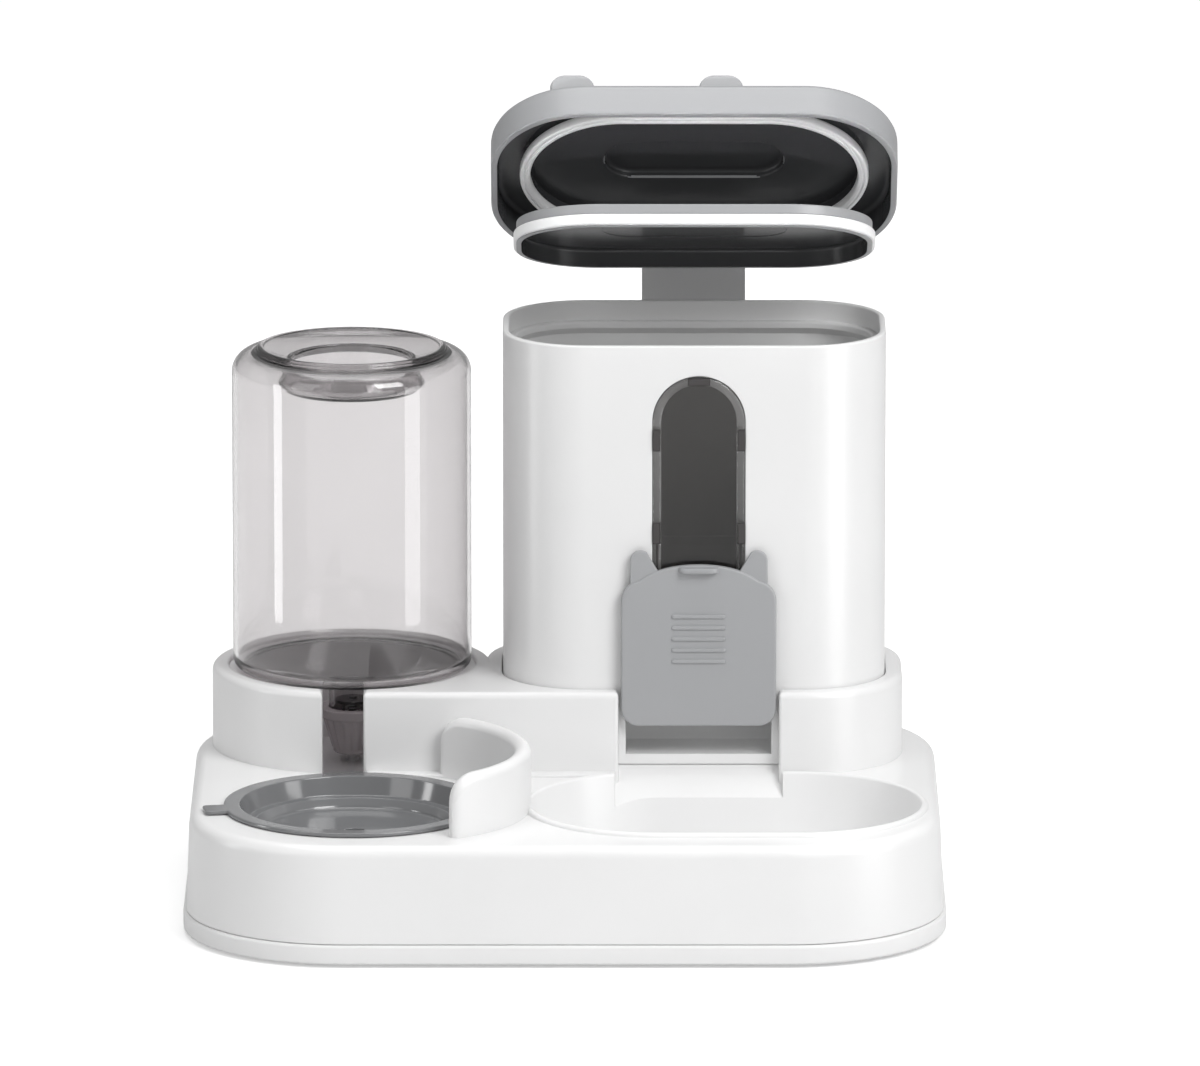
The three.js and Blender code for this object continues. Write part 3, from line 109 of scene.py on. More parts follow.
class FEEDER_PG_tray(bpy.types.PropertyGroup):
    """Sizes of the base tray and its cover."""

    deck: length("Deck height", "Top of the deck above the floor", 0.058)
    collar_top: length("Collar top", "Top of the collars above the floor", 0.098)
    well_floor: length("Well floor", "Floor of the bottle well above the floor", 0.049)
    splash_top: length("Splash wall top", "Top of the splash wall above the floor", 0.088)
    front_corner: length("Front corners", "Radius of the front corners", 0.075)
    rear_corner: length("Rear corners", "Radius of the rear corners", 0.082)
    draft: length("Draft", "How far the walls lean in", 0.0015)
    deck_edge: length("Deck edge", "Radius of the edge round the deck", 0.006)
    collar_wall: length("Collar wall", "Thickness of the collars", 0.008)
    collar_edge: length("Collar edge", "Radius of the collars' top edge", 0.0035)
    step_height: length("Step height", "Low step at the foot of the front wall", 0.0014)
    step_depth: length("Step depth", "Depth of that step", 0.007)
    well_radius: length("Bottle well", "Radius of the well under the bottle", 0.05)
    slot_middle: length("Slot place", "Middle of the slot along X", -0.1067)
    slot_width: length("Slot width", "Width of the slot in front of the neck", 0.0198)
    slot_flare: length("Slot flare", "Radius at the top of the slot's sides", 0.0025)
    post_radius: length("Post radius", "Radius of the post that lifts the valve", 0.003)
    chute_width: length("Chute width", "Width of the chute under the gate", 0.077)
    chute_reach: length("Chute reach", "How far the chute runs forward", 0.035)
    chute_drop: length("Chute drop", "How far the chute falls", 0.036)
    splash_x: length("Splash wall X", "Centre of the splash wall's curve", -0.092)
    splash_y: length("Splash wall Y", "Centre of the splash wall's curve", -0.062)
    splash_radius: length("Splash wall radius", "Inner radius of the splash wall", 0.068)
    splash_wall: length("Splash wall thickness", "Thickness of the splash wall", 0.008)
    splash_end: length("Splash wall ends", "Radius that rounds the wall's ends", 0.014)
    cover_edge: length("Cover edge", "Radius of the bottom cover's edge", 0.0015)
    cover_plate: length("Cover plate", "Thickness of the bottom cover", 0.003)
    cover_rim: length("Cover rim", "Width of the bottom cover's rim", 0.004)
    boss_radius: length("Boss radius", "Radius of the bosses round the screws", 0.0045)
    splash_from: angle("Splash wall start", "Angle of its front end", -58)
    splash_to: angle("Splash wall finish", "Angle of its rear end", 63)
    splash_nose: share("Splash wall nose", "Least thickness at the wall's ends as a share", 0.3)


class FEEDER_PG_bowls(bpy.types.PropertyGroup):
    """Sizes of the food bowl and the water bowl."""

    food_x: length("Food bowl X", "Middle of the food bowl", 0.0765)
    food_y: length("Food bowl Y", "Middle of the food bowl", -0.06)
    food_width: length("Food bowl width", "Across the food bowl", 0.186)
    food_depth: length("Food bowl depth", "Front to back of the food bowl", 0.121)
    food_floor: length("Food bowl floor", "Floor of the food bowl above the floor", 0.022)
    food_draft: length("Food bowl draft", "How far its wall leans in", 0.006)
    food_fillet: length("Food bowl fillet", "Radius round its floor", 0.009)
    lip_width: length("Lip width", "Width of the lip round the food bowl", 0.0034)
    lip_height: length("Lip height", "Height of that lip over the deck", 0.002)
    flange_radius: length("Water flange", "Outer radius of the water bowl", 0.0623)
    rim_radius: length("Water rim", "Radius inside the water bowl's flange", 0.0546)
    ledge_radius: length("Water ledge", "Radius of the ledge inside the water bowl", 0.052)
    ledge_width: length("Ledge width", "Width of the ledge", 0.0048)
    ledge_drop: length("Ledge drop", "How far the ledge lies under the flange", 0.009)
    floor_radius: length("Water floor", "Radius of the water bowl's floor", 0.045)
    bowl_depth: length("Water depth", "Depth of the water bowl", 0.0136)
    bowl_wall: length("Water bowl wall", "Thickness of the water bowl", 0.002)
    drain_radius: length("Drain radius", "Radius of the hole in the water bowl", 0.005)
    tab_width: length("Tab width", "Width of the lifting tab", 0.013)
    tab_length: length("Tab length", "How far the tab stands out", 0.01)
    basin_gap: length("Basin gap", "Space under the water bowl", 0.0025)
    tab_angle: angle("Tab direction", "Where the tab points", 189)


class FEEDER_PG_bottle(bpy.types.PropertyGroup):
    """Sizes of the water bottle and its cap."""

    wall: length("Bottle wall", "Thickness of the bottle", 0.0022)
    seat: length("Bottle seat", "Height of the bottle's shoulder", 0.096)
    heel: length("Lower edge", "Radius of the bottle's lower edge", 0.005)
    shoulder: length("Upper edge", "Radius of the bottle's upper edge", 0.01)
    clearance: length("Bottle clearance", "Gap between bottle and collar", 0.002)
    ring_radius: length("Ring radius", "Radius of the ring on top", 0.0454)
    ring_height: length("Ring height", "Height of that ring", 0.0024)
    grip_mouth: length("Grip mouth", "Radius of the grip well's mouth", 0.029)
    grip_drop: length("Grip drop", "How far the mouth lies under the ring", 0.005)
    grip_floor: length("Grip floor", "Radius of the grip well's floor", 0.033)
    grip_depth: length("Grip depth", "Depth of the grip well", 0.019)
    neck_radius: length("Neck radius", "Radius of the neck", 0.0115)
    neck_wall: length("Neck wall", "Thickness of the neck", 0.0022)
    neck_top: length("Neck top", "Height where the neck meets the cone", 0.087)
    cap_band: length("Cap band", "Height of the cap's band", 0.0045)
    cap_radius: length("Cap cone", "Radius at the top of the cap's cone", 0.015)
    cap_mouth: length("Cap mouth", "Radius of the cap's mouth", 0.0094)
    cap_wall: length("Cap wall", "Thickness of the cap", 0.0017)
    cap_rib: length("Cap rib", "Depth of the grooves in the cone", 0.0007)
    cap_web: length("Cap web", "Thickness of the web with the valve hole", 0.0025)
    valve_hole: length("Valve hole", "Radius of the hole in the web", 0.005)
    cap_ribs: IntProperty(
        name="Cap ribs", description="Number of grooves in the cone", default=16, min=3)


class FEEDER_PG_bin(bpy.types.PropertyGroup):
    """Sizes of the food bin, its hopper, window and gate."""

    corner: length("Bin corners", "Radius of the bin's corners", 0.04)
    depth: length("Bin depth", "Front to back of the bin, without its channel", 0.11)
    clearance: length("Bin clearance", "Gap between bin and collar", 0.0005)
    wall: length("Bin wall", "Thickness of the bin", 0.003)
    edge: length("Bin edge", "Radius of the bin's top edge", 0.0008)
    ledge_drop: length("Bin ledge", "How far the ledge lies under the rim", 0.0095)
    ledge_width: length("Bin ledge width", "Width of the ledge", 0.0036)
    ledge_slope: length("Bin ledge slope", "Height of the slope under the ledge", 0.0065)
    hopper_top: length("Hopper top", "Where the hopper begins to narrow", 0.15)
    hopper_floor: length("Hopper floor", "Floor of the hopper", 0.066)
    mouth_depth: length("Hopper mouth", "Front to back of the hopper's mouth", 0.026)
    hopper_rim: length("Hopper rim", "Thickness of the hopper's rim", 0.0016)
    hopper_rim_height: length("Hopper rim height", "Height of the hopper's upright rim", 0.004)
    shelf_width: length("Shelf width", "Width of the shelf under the hopper", 0.0022)
    shelf_height: length("Shelf height", "Height of that shelf", 0.0025)
    shelf_drop: length("Shelf place", "How far the shelf lies under the hopper's rim", 0.0035)
    outlet_width: length("Outlet width", "Width of the outlet", 0.07)
    outlet_height: length("Outlet height", "Height of the outlet", 0.026)
    window_width: length("Window width", "Width of the window", 0.044)
    window_top: length("Window top", "Top of the window above the floor", 0.251)
    window_bottom: length("Window bottom", "Bottom of the window above the floor", 0.118)
    window_bead: length("Window bead", "Rounding of the window's rim", 0.0014)
    window_rim: length("Window rim", "Width of the window's rim", 0.004)
    window_relief: length("Window relief", "How far the pane lies behind its rim", 0.0008)
    window_flange: length("Window flange", "Width of the flange inside the wall", 0.0036)
    flange_thickness: length("Flange thickness", "Thickness of that flange", 0.002)
    channel_top: length("Channel top", "Top of the hinge plate's channel", 0.262)
    channel_length: length("Channel length", "Length of that channel", 0.084)
    channel_wall: length("Channel wall", "Thickness of the channel", 0.0034)
    channel_lip: length("Channel lip", "Lip over the plate's edges", 0.004)
    gate_shoulder: length("Gate shoulder", "Height of the gate's shoulders", 0.15)
    gate_crown: length("Gate crown", "Height of the gate's top", 0.16)
    gate_corner: length("Gate corners", "Radius of the gate's corners", 0.0085)
    gate_plate: length("Gate plate", "Thickness of the gate", 0.003)
    gate_standoff: length("Gate gap", "Gap between gate and bin", 0.003)
    ear_width: length("Gate ear width", "Width of the gate's ears", 0.015)
    ear_thickness: length("Gate ear thickness", "Thickness of the gate's ears", 0.0018)
    handle_width: length("Gate handle width", "Width of the gate's handle", 0.019)
    handle_reach: length("Gate handle reach", "How far the handle stands out", 0.004)
    handle_height: length("Gate handle height", "Height of the handle", 0.0026)
    rib_pitch: length("Grip rib pitch", "Distance between the grip ribs", 0.0055)
    rib_width: length("Grip rib width", "Width of the grip ribs", 0.026)
    rib_height: length("Grip rib height", "Height of the grip ribs", 0.002)
    rib_proud: length("Grip rib relief", "How far the ribs stand out", 0.0009)
    rib_middle: length("Grip rib place", "Middle of the grip ribs", 0.124)
    lug_offset: length("Lug place", "Lugs each side of the gate's middle", 0.031)
    lug_width: length("Lug width", "Width of the lugs", 0.0032)
    lug_height: length("Lug height", "Height of the lugs", 0.014)
    lug_head: length("Lug head", "Width of the lugs' heads", 0.0066)
    lug_head_thickness: length("Lug head thickness", "Thickness of the lugs' heads", 0.002)
    travel_down: length("Gate travel down", "How far the gate goes down", 0.017)
    travel_up: length("Gate travel up", "How far the gate goes up", 0.022)


class FEEDER_PG_lids(bpy.types.PropertyGroup):
    """Sizes of the lids, their seals and the hinge."""

    pivot_y: length("Pivot Y", "The hinge pin's place", 0.131)
    pivot_z: length("Pivot Z", "The hinge pin's height with the plate pushed home", 0.267)
    raised: length("Plate raised", "How far the hinge plate stands raised", 0.02)
    pin_radius: length("Pin radius", "Radius of the hinge pin", 0.0015)
    plate_width: length("Plate width", "Width of the hinge plate", 0.05)
    knuckle: length("Knuckle radius", "Radius of the hinge knuckles", 0.004)
    knuckle_width: length("Knuckle width", "Width of the lids' knuckles", 0.008)
    outer_knuckle_x: length("Outer knuckles", "Outer lid's knuckles each side of the middle", 0.021)
    inner_knuckle_x: length("Inner knuckles", "Inner lid's knuckles each side of the middle", 0.011)
    overhang: length("Lid overhang", "How far the outer lid stands over the bin", 0.00575)
    outer_wall: length("Outer lid wall", "Thickness of the outer lid", 0.003)
    outer_bottom: length("Outer lid bottom", "Bottom of the closed outer lid", 0.2631)
    outer_height: length("Outer lid height", "Height of the outer lid", 0.0183)
    outer_edge: length("Outer lid edge", "Radius of the outer lid's edge", 0.004)
    recess_width: length("Recess width", "Width of the outer lid's recess", 0.086)
    recess_depth: length("Recess depth", "Front to back of the recess", 0.029)
    recess_height: length("Recess height", "How far the recess goes in", 0.004)
    ear_width: length("Ear width", "Width of the outer lid's ears", 0.021)
    ear_height: length("Ear height", "Height of the outer lid's ears", 0.009)
    ear_thickness: length("Ear thickness", "Thickness of the outer lid's ears", 0.005)
    ear_setback: length("Ear setback", "Ears behind the lid's front edge", 0.006)
    ring_width: length("Seal ring width", "Width of the outer lid's seal", 0.168)
    ring_depth: length("Seal ring depth", "Front to back of the outer lid's seal", 0.099)
    ring_thickness: length("Seal ring thickness", "Width of the seal itself", 0.0052)
    ring_height: length("Seal ring height", "Height of the seal", 0.005)
    inner_width: length("Inner lid width", "Width of the inner lid", 0.171)
    inner_depth: length("Inner lid depth", "Front to back of the inner lid", 0.097)
    inner_corner: length("Inner lid corners", "Radius of the inner lid's corners", 0.0404)
    inner_bottom: length("Inner lid bottom", "Bottom of the closed inner lid", 0.2568)
    inner_height: length("Inner lid height", "Height of the inner lid", 0.011)
    inner_wall: length("Inner lid wall", "Thickness of the inner lid", 0.0024)
    inner_flange: length("Inner lid flange", "Height of the band over the seal", 0.0048)
    seal_proud: length("Inner seal relief", "How far the inner seal stands out", 0.0014)
    seal_height: length("Inner seal height", "Height of the inner seal", 0.0054)
    pad_width: length("Inner recess width", "Width of the inner lid's recess", 0.089)
    pad_depth: length("Inner recess depth", "Front to back of that recess", 0.034)
    outer_open: angle("Outer lid angle", "How far the outer lid is open", 46)
    inner_open: angle("Inner lid angle", "How far the inner lid is open", 23.5)
    ear_left: number("Left ear", "Share of the lid's width from its middle", -0.3)
    ear_right: number("Right ear", "Share of the lid's width from its middle", 0.065)


class FEEDER_PG_finish(bpy.types.PropertyGroup):
    """Colours of the feeder."""

    white: colour("White plastic", "Tray, cover and bin", (0.80, 0.80, 0.80))
    grey: colour("Gate grey", "The gate", (0.355, 0.36, 0.37))
    lid_grey: colour("Lid grey", "Outer and inner lid", (0.32, 0.324, 0.333))
    # Painted shade: a near-black grey on the lids' inner and downward faces, standing for the shade
    # under the lids
    liner: colour("Liner grey", "Inside of both lids", (0.057, 0.058, 0.061))
    # Painted light: the hinge plate's grey plastic made far lighter to stand for light falling on it
    plate_grey: colour("Plate grey", "Hinge plate", (0.60, 0.60, 0.605))
    bowl_grey: colour("Bowl grey", "Water bowl", (0.17, 0.173, 0.178))
    smoky: colour("Smoky plastic", "The water bottle", (0.765, 0.754, 0.757))
    smoke: colour("Smoke", "What the bottle's thickness takes from the light", (0.60, 0.565, 0.575))
    # Painted shade: the window's near-black tint stands for the shaded inside of the bin seen through
    # the pane
    clear: colour("Clear plastic", "The window", (0.105, 0.10, 0.096))
    rim: colour("Rim", "The window's rim", (0.99, 0.99, 0.99))
    # The cap's smoky grey is partly its own colour and partly painted light, made lighter against the
    # bottle's shadow over it
    cap: colour("Cap grey", "The bottle's cap", (0.60, 0.56, 0.57))
    dark: colour("Dark plastic", "Valve and window clips", (0.05, 0.046, 0.046))
    seal: colour("Silicone", "Seals of the lids", (0.93, 0.932, 0.935))
    rubber: colour("Rubber", "Feet and valve seal", (0.13, 0.13, 0.135))
    steel: colour("Steel", "Pin, screws and spring", (0.62, 0.63, 0.64))
    smoke_depth: number("Smoke depth", "How strongly thickness darkens", 30)


class FEEDER_PG_stage(bpy.types.PropertyGroup):
    """The studio round the feeder."""

    key: power("Key lamp", "Power of the lamp at the right", 36)
    fill: power("Fill lamp", "Power of the lamp at the left", 7)
    top: power("Top lamp", "Power of the lamp above", 26)
    low: power("Low lamp", "Power of the low lamp in front", 2.5)
    lid: power("Lid lamp", "Power of the narrow lamp under the lids", 0.14)
    streak: power("Streaks", "Power of the strips that show only as reflections", 1.0)
    lid_spread: angle("Lid lamp spread", "How wide that lamp shines", 16)
    elevation: angle("Camera elevation", "How steeply the camera looks down", 12.6)
    floor_glow: number("Floor glow", "Light that the camera alone sees on the floor", 0.45)
    far_glow: number("Far glow", "The same light far from the feeder", 0.62)
    horizon_glow: share("Horizon glow", "How much brighter its far edge is", 0.2)
    glow_near: length("Glow begins", "Radius where the floor starts to brighten", 0.35)
    glow_far: length("Glow ends", "Radius from which the floor is plain white", 1.1)
    horizon_near: length(
        "Horizon begins", "Radius where the floor brightens again, behind the picture", 2.5)
    floor_half: length("Floor size", "Half the floor's width", 6.0)
    streak_reach: length("Streak distance", "Strips' distance from the bottle", 0.6)
    camera_x: length("Camera X", "Camera place", 0.0167)
    camera_y: length("Camera Y", "Camera place", -6.9953)
    camera_z: length("Camera Z", "Camera place", 1.7412)
    backdrop: colour("Backdrop", "Floor and sky as the camera sees them", (1.0, 1.0, 1.0))
    floor: colour("Floor", "Floor as its light falls on the feeder", (0.73, 0.73, 0.73))
    sky: share("Sky", "Strength of the even light from all round", 0.34)
    lens: FloatProperty(name="Lens", description="Focal length", default=450, unit="CAMERA")


class FEEDER_PG_all(bpy.types.PropertyGroup):
    """Everything that a user may change."""

    tray: PointerProperty(type=FEEDER_PG_tray)
    bowls: PointerProperty(type=FEEDER_PG_bowls)
    bottle: PointerProperty(type=FEEDER_PG_bottle)
    bin: PointerProperty(type=FEEDER_PG_bin)
    lids: PointerProperty(type=FEEDER_PG_lids)
    finish: PointerProperty(type=FEEDER_PG_finish)
    stage: PointerProperty(type=FEEDER_PG_stage)


def sizes():
    """The add-on's sizes and colours."""
    return bpy.context.scene.feeder


def middle(name):
    """The middle of a frame node's box."""
    low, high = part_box(name)
    return (low + high) / 2


def extent(name):
    """The size of a frame node's box."""
    low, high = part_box(name)
    return high - low


# Outlines: closed rings of (x, y) points, anticlockwise, all with the same count for lofts


def arc(centre, radius, start, end, steps=EDGE_STEPS):
    """Points on a circle from one angle to another, both included."""
    turn = (end - start) / steps
    return [
        (centre[0] + radius * math.cos(start + turn * i),
         centre[1] + radius * math.sin(start + turn * i))
        for i in range(steps + 1)
    ]


def circle(x, y, radius, steps=ROUND_STEPS):
    """A round outline."""
    return arc((x, y), radius, 0, 2 * HALF, steps)[:-1]


def rounded_box(low, high, radii, steps=CORNER_STEPS):
    """A rectangle with its own radius at each corner: rear right, rear left, front left and
    front right."""
    corners = [(high[0], high[1]), (low[0], high[1]), (low[0], low[1]), (high[0], low[1])]
    points = []
    for turn, (corner, radius) in enumerate(zip(corners, radii)):
        inward_x = -radius if corner[0] == high[0] else radius
        inward_y = -radius if corner[1] == high[1] else radius
        start = turn * QUARTER
        points += arc((corner[0] + inward_x, corner[1] + inward_y), radius, start, start + QUARTER,
                      steps)
    return points


def inset_box(low, high, radii, inset, steps=CORNER_STEPS):
    """The same rectangle, drawn in by an even amount."""
    return rounded_box(
        (low[0] + inset, low[1] + inset), (high[0] - inset, high[1] - inset),
        [max(radius - inset, EDGE_LEAST) for radius in radii], steps)


def at_height(outline, z):
    """An outline as points in space."""
    return [Vector((x, y, z)) for x, y in outline]


# Insets and heights along an edge, for lofts through many levels


def edge_steps(radius, z, upwards=True):
    """A rounded edge that ends level at z."""
    rows = []
    for i in range(EDGE_STEPS + 1):
        a = QUARTER * i / EDGE_STEPS
        rise = radius * (1 - math.sin(a))
        rows.append((radius * (1 - math.cos(a)), z - rise if upwards else z + rise))
    return rows if upwards else list(reversed(rows))


def rounded_mouth(radius, top):
    """A hollow whose mouth widens to a rounded edge at the top."""
    rows = []
    for i in range(EDGE_STEPS + 1):
        a = QUARTER * i / EDGE_STEPS
        rows.append((-radius * (1 - math.cos(a)), top - radius + radius * math.sin(a)))
    return rows + [(-radius, top + OVERRUN)]


# Solids


def finish_mesh(mesh):
    """A mesh data block from a bmesh, closed, with its faces pointing outwards."""
    bmesh.ops.remove_doubles(mesh, verts=mesh.verts, dist=MERGE_DISTANCE)
    bmesh.ops.dissolve_degenerate(mesh, edges=mesh.edges, dist=MERGE_DISTANCE)
    bmesh.ops.recalc_face_normals(mesh, faces=mesh.faces)
    data = bpy.data.meshes.new("work")
    mesh.to_mesh(data)
    mesh.free()
    return data


def loft(rings, closed=False):
    """A solid through rings of points with equal counts; a closed one joins its last ring to
    its first."""
    mesh = bmesh.new()
    rows = [[mesh.verts.new(point) for point in ring] for ring in rings]
    pairs = list(zip(rows, rows[1:]))
    if closed:
        pairs.append((rows[-1], rows[0]))
    for lower, upper in pairs:
        count = len(lower)
        for i in range(count):
            following = (i + 1) % count
            mesh.faces.new((lower[i], lower[following], upper[following], upper[i]))
    if not closed:
        mesh.faces.new(list(reversed(rows[0])))
        mesh.faces.new(rows[-1])
    return finish_mesh(mesh)


def turned(profile, centre, steps=ROUND_STEPS, gap=None):
    """A solid of revolution about a vertical axis, from a closed profile of (radius, z). The
    joint before the point numbered gap stays open, and its two rings are filled instead."""
    mesh = bmesh.new()
    columns = []
    for i in range(steps):
        a = 2 * HALF * i / steps
        columns.append([
            mesh.verts.new((centre[0] + radius * math.cos(a), centre[1] + radius * math.sin(a), z))
            for radius, z in profile
        ])
    for i, here in enumerate(columns):
        following = columns[(i + 1) % steps]
        for j in range(len(profile)):
            k = (j + 1) % len(profile)
            if k != gap:
                mesh.faces.new((here[j], following[j], following[k], here[k]))
    if gap is not None:
        for row in (gap - 1, gap):
            mesh.faces.new([column[row] for column in columns])
    return finish_mesh(mesh)


def layered(outline_at, rows):
    """A solid from an outline with its inset and height at each level."""
    return loft([at_height(outline_at(inset), z) for inset, z in rows])


def slab(outline_at, bottom, top, top_edge=0.0, bottom_edge=0.0, lean=0.0):
    """A solid with rounded top and bottom edges; outline_at gives the outline for an inset."""
    rows = edge_steps(bottom_edge, bottom, upwards=False) if bottom_edge else [(0.0, bottom)]
    if top_edge:
        rows += [(lean + inset, z) for inset, z in edge_steps(top_edge, top)]
    else:
        rows.append((lean, top))
    return layered(outline_at, rows)


def prism(outline, bottom, top):
    """An outline raised from one height to another."""
    return loft([at_height(outline, bottom), at_height(outline, top)])


def drum(centre, radius, bottom, top, steps=ROUND_STEPS):
    """An upright round bar."""
    return prism(circle(centre[0], centre[1], radius, steps), bottom, top)


def crate(low, high, edge=EDGE_LEAST):
    """A block between two corners, with its upright edges rounded."""
    return prism(rounded_box(low[:2], high[:2], [edge] * 4, EDGE_STEPS), low[2], high[2])


def upright(outline, back, front):
    """An outline of (x, z) drawn from one y to another."""
    return loft([[Vector((x, y, z)) for x, z in outline] for y in (back, front)])


def object_of(data, name):
    """A linked object for a mesh."""
    if name in bpy.data.objects:
        raise RuntimeError("an object named " + name + " exists")
    made = bpy.data.objects.new(name, data)
    bpy.context.scene.collection.objects.link(made)
    return made


def combined(base, tools, operation):
    """A mesh after Boolean steps with other meshes, one at a time."""
    target = object_of(base, "work_base")
    helpers = []
    for i, tool in enumerate(tools):
        helper = object_of(tool, "work_tool_" + str(i))
        helper.hide_render = True
        helpers.append(helper)
        step = target.modifiers.new("step_" + str(i), "BOOLEAN")
        step.object = helper
        step.operation = operation
        step.solver = "MANIFOLD"
    bpy.context.view_layer.update()
    evaluated = target.evaluated_get(bpy.context.evaluated_depsgraph_get())
    result = bpy.data.meshes.new_from_object(evaluated)
    for leftover in [target] + helpers:
        bpy.data.objects.remove(leftover, do_unlink=True)
    if not result.polygons:
        raise RuntimeError("a Boolean step left nothing")
    return result


def fused(base, *tools):
    """Meshes joined into one."""
    return combined(base, tools, "UNION")


def carved(base, *tools):
    """A mesh less other meshes."""
    return combined(base, tools, "DIFFERENCE")


def lined(data, inside):
    """A mesh with faces, told by centre and normal, marked for a second finish: painted shade, a
    clear rim.
    """
    for face in data.polygons:
        face.material_index = 1 if inside(face.center, face.normal) else 0
    return data


def piece(node_name, data, body, slot, look=None, liner=None, name=None):
    """A finished piece: shaded, on its body, in the place of the frame node that it dresses."""
    name = (name or node_name) + "_shell"
    data.name = name
    data.shade_smooth()
    data.set_sharp_from_angle(angle=SHARP_ANGLE)
    shape = object_of(data, name)
    weighted = shape.modifiers.new("weighted_normals", "WEIGHTED_NORMAL")
    weighted.keep_sharp = True
    marks = [face.material_index for face in data.polygons]
    data.materials.clear()
    data.materials.append(finish(look or slot))
    # The marked faces take the second finish: painted shade inside the lids, the clear rim round the
    # window
    if liner:
        data.materials.append(finish(liner))
        data.polygons.foreach_set("material_index", marks)
    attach(shape, body)
    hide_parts(node_name)


# Finishes: procedural node materials in each piece's own space, made once for each slot or look

# Where nearly all values of a noise lie
NOISE_LOW, NOISE_HIGH = 0.3, 0.7
# How deep light goes into soft plastic
MILK_DEPTH = 0.004


def node(tree, kind, place, inputs=None, **values):
    """A shader node with its settings; an input takes a value or another node's output."""
    made = tree.nodes.new(kind)
    made.location = place
    for key, value in values.items():
        setattr(made, key, value)
    for key, value in (inputs or {}).items():
        if isinstance(value, bpy.types.NodeSocket):
            tree.links.new(value, made.inputs[key])
        else:
            made.inputs[key].default_value = value
    return made


def rgba(value, factor=1.0):
    """A colour with its alpha, made lighter or darker by a factor."""
    return (value[0] * factor, value[1] * factor, value[2] * factor, 1.0)


def plain_tree(name):
    """A new material, its tree and output, and coordinates that ride with the piece."""
    material = bpy.data.materials.new(name)
    material.use_nodes = True
    tree = material.node_tree
    tree.nodes.clear()
    output = node(tree, "ShaderNodeOutputMaterial", (900, 0))
    return material, tree, output, node(tree, "ShaderNodeTexCoord", (-900, 0)).outputs["Object"]


def mottle(tree, place, scale, detail, spot):
    """A noise's value."""
    return node(tree, "ShaderNodeTexNoise", spot,
                {"Vector": place, "Scale": scale, "Detail": detail}).outputs["Fac"]


def ranged(tree, source, low, high, spot):
    """A noise's value spread from low to high."""
    return node(tree, "ShaderNodeMapRange", spot, {
        "Value": source, "From Min": NOISE_LOW, "From Max": NOISE_HIGH,
        "To Min": low, "To Max": high}).outputs["Result"]


def varied_colour(tree, source, base, spread, spot):
    """A colour that shifts a little with a noise."""
    ramp = node(tree, "ShaderNodeValToRGB", spot, {"Fac": source})
    low, high = ramp.color_ramp.elements
    low.position, high.position = NOISE_LOW, NOISE_HIGH
    low.color, high.color = rgba(base, 1 - spread), rgba(base, 1 + spread)
    return ramp.outputs["Color"]


def relief(tree, source, strength, distance, edge_radius, spot):
    """Surface grain over edges that look rounded."""
    inputs = {"Strength": strength, "Distance": distance, "Height": source}
    if edge_radius:
        inputs["Normal"] = node(tree, "ShaderNodeBevel", (spot[0] - 200, spot[1] - 200),
                                {"Radius": edge_radius}, samples=6).outputs["Normal"]
    return node(tree, "ShaderNodeBump", spot, inputs).outputs["Normal"]


def surface(name, base, spread, inputs, broad_scale, roughness, grain, grain_depth,
            fine_scale=None, edge_radius=0, scratched=False):
    """A Principled material. Broad noise shifts its colour and, unless it is scratched, its
    roughness; fine noise, or the broad where there is none, shapes its surface."""
    material, tree, output, place = plain_tree(name)
    broad = fine = mottle(tree, place, broad_scale, 2, (-650, 200))
    if fine_scale:
        fine = mottle(tree, place, fine_scale, 3, (-650, -250))
    shader = node(tree, "ShaderNodeBsdfPrincipled", (600, 0), {
        "Base Color": varied_colour(tree, broad, base, spread, (-350, 250)),
        "Roughness": ranged(tree, fine if scratched else broad, *roughness, (-350, 0)),
        "Normal": relief(tree, fine, grain, grain_depth, edge_radius, (-50, -250)),
        **inputs,
    }).outputs["BSDF"]
    tree.links.new(shader, output.inputs["Surface"])
    return material, tree, output, shader


def moulded(name, base, roughness, grain, scale, edge_radius, specular=0.5, spread=0.012, soft=0):
    """Moulded plastic: nearly even colour and fine grain; a soft one lets a little light in."""
    inputs = {"IOR": 1.48, "Specular IOR Level": specular}
    if soft:
        inputs.update({"Subsurface Weight": soft, "Subsurface Scale": 1.0,
                       "Subsurface Radius": (MILK_DEPTH, MILK_DEPTH, MILK_DEPTH)})
    return surface(
        name, base, spread, inputs, broad_scale=14, fine_scale=scale,
        roughness=(roughness * 0.94, roughness * 1.08), grain=grain, grain_depth=0.0002,
        edge_radius=edge_radius)[0]


def clear_plastic(name, base, roughness, edge_radius, shadow, smoke=None):
    """Clear plastic: refracts, tinted, darker where it is thick, and lets shadow rays through."""
    material, tree, output, shader = surface(
        name, base, 0.006, {"IOR": 1.49, "Transmission Weight": 1.0}, broad_scale=18,
        roughness=(roughness * 0.8, roughness * 1.2), grain=0.08, grain_depth=0.0005,
        edge_radius=edge_radius)
    passing = node(tree, "ShaderNodeBsdfTransparent", (600, -350), {"Color": rgba(shadow)})
    path = node(tree, "ShaderNodeLightPath", (600, 350))
    choice = node(tree, "ShaderNodeMixShader", (750, 0), {
        "Fac": path.outputs["Is Shadow Ray"], 1: shader, 2: passing.outputs["BSDF"]})
    tree.links.new(choice.outputs["Shader"], output.inputs["Surface"])
    if smoke:
        haze = node(tree, "ShaderNodeVolumeAbsorption", (600, -500), {
            "Color": rgba(smoke), "Density": sizes().finish.smoke_depth})
        tree.links.new(haze.outputs["Volume"], output.inputs["Volume"])
    return material


def bare_steel(name, base):
    """Steel with fine scratches."""
    return surface(
        name, base, 0.04, {"Metallic": 1.0}, broad_scale=60, fine_scale=900,
        roughness=(0.22, 0.38), grain=0.1, grain_depth=0.0001, scratched=True)[0]


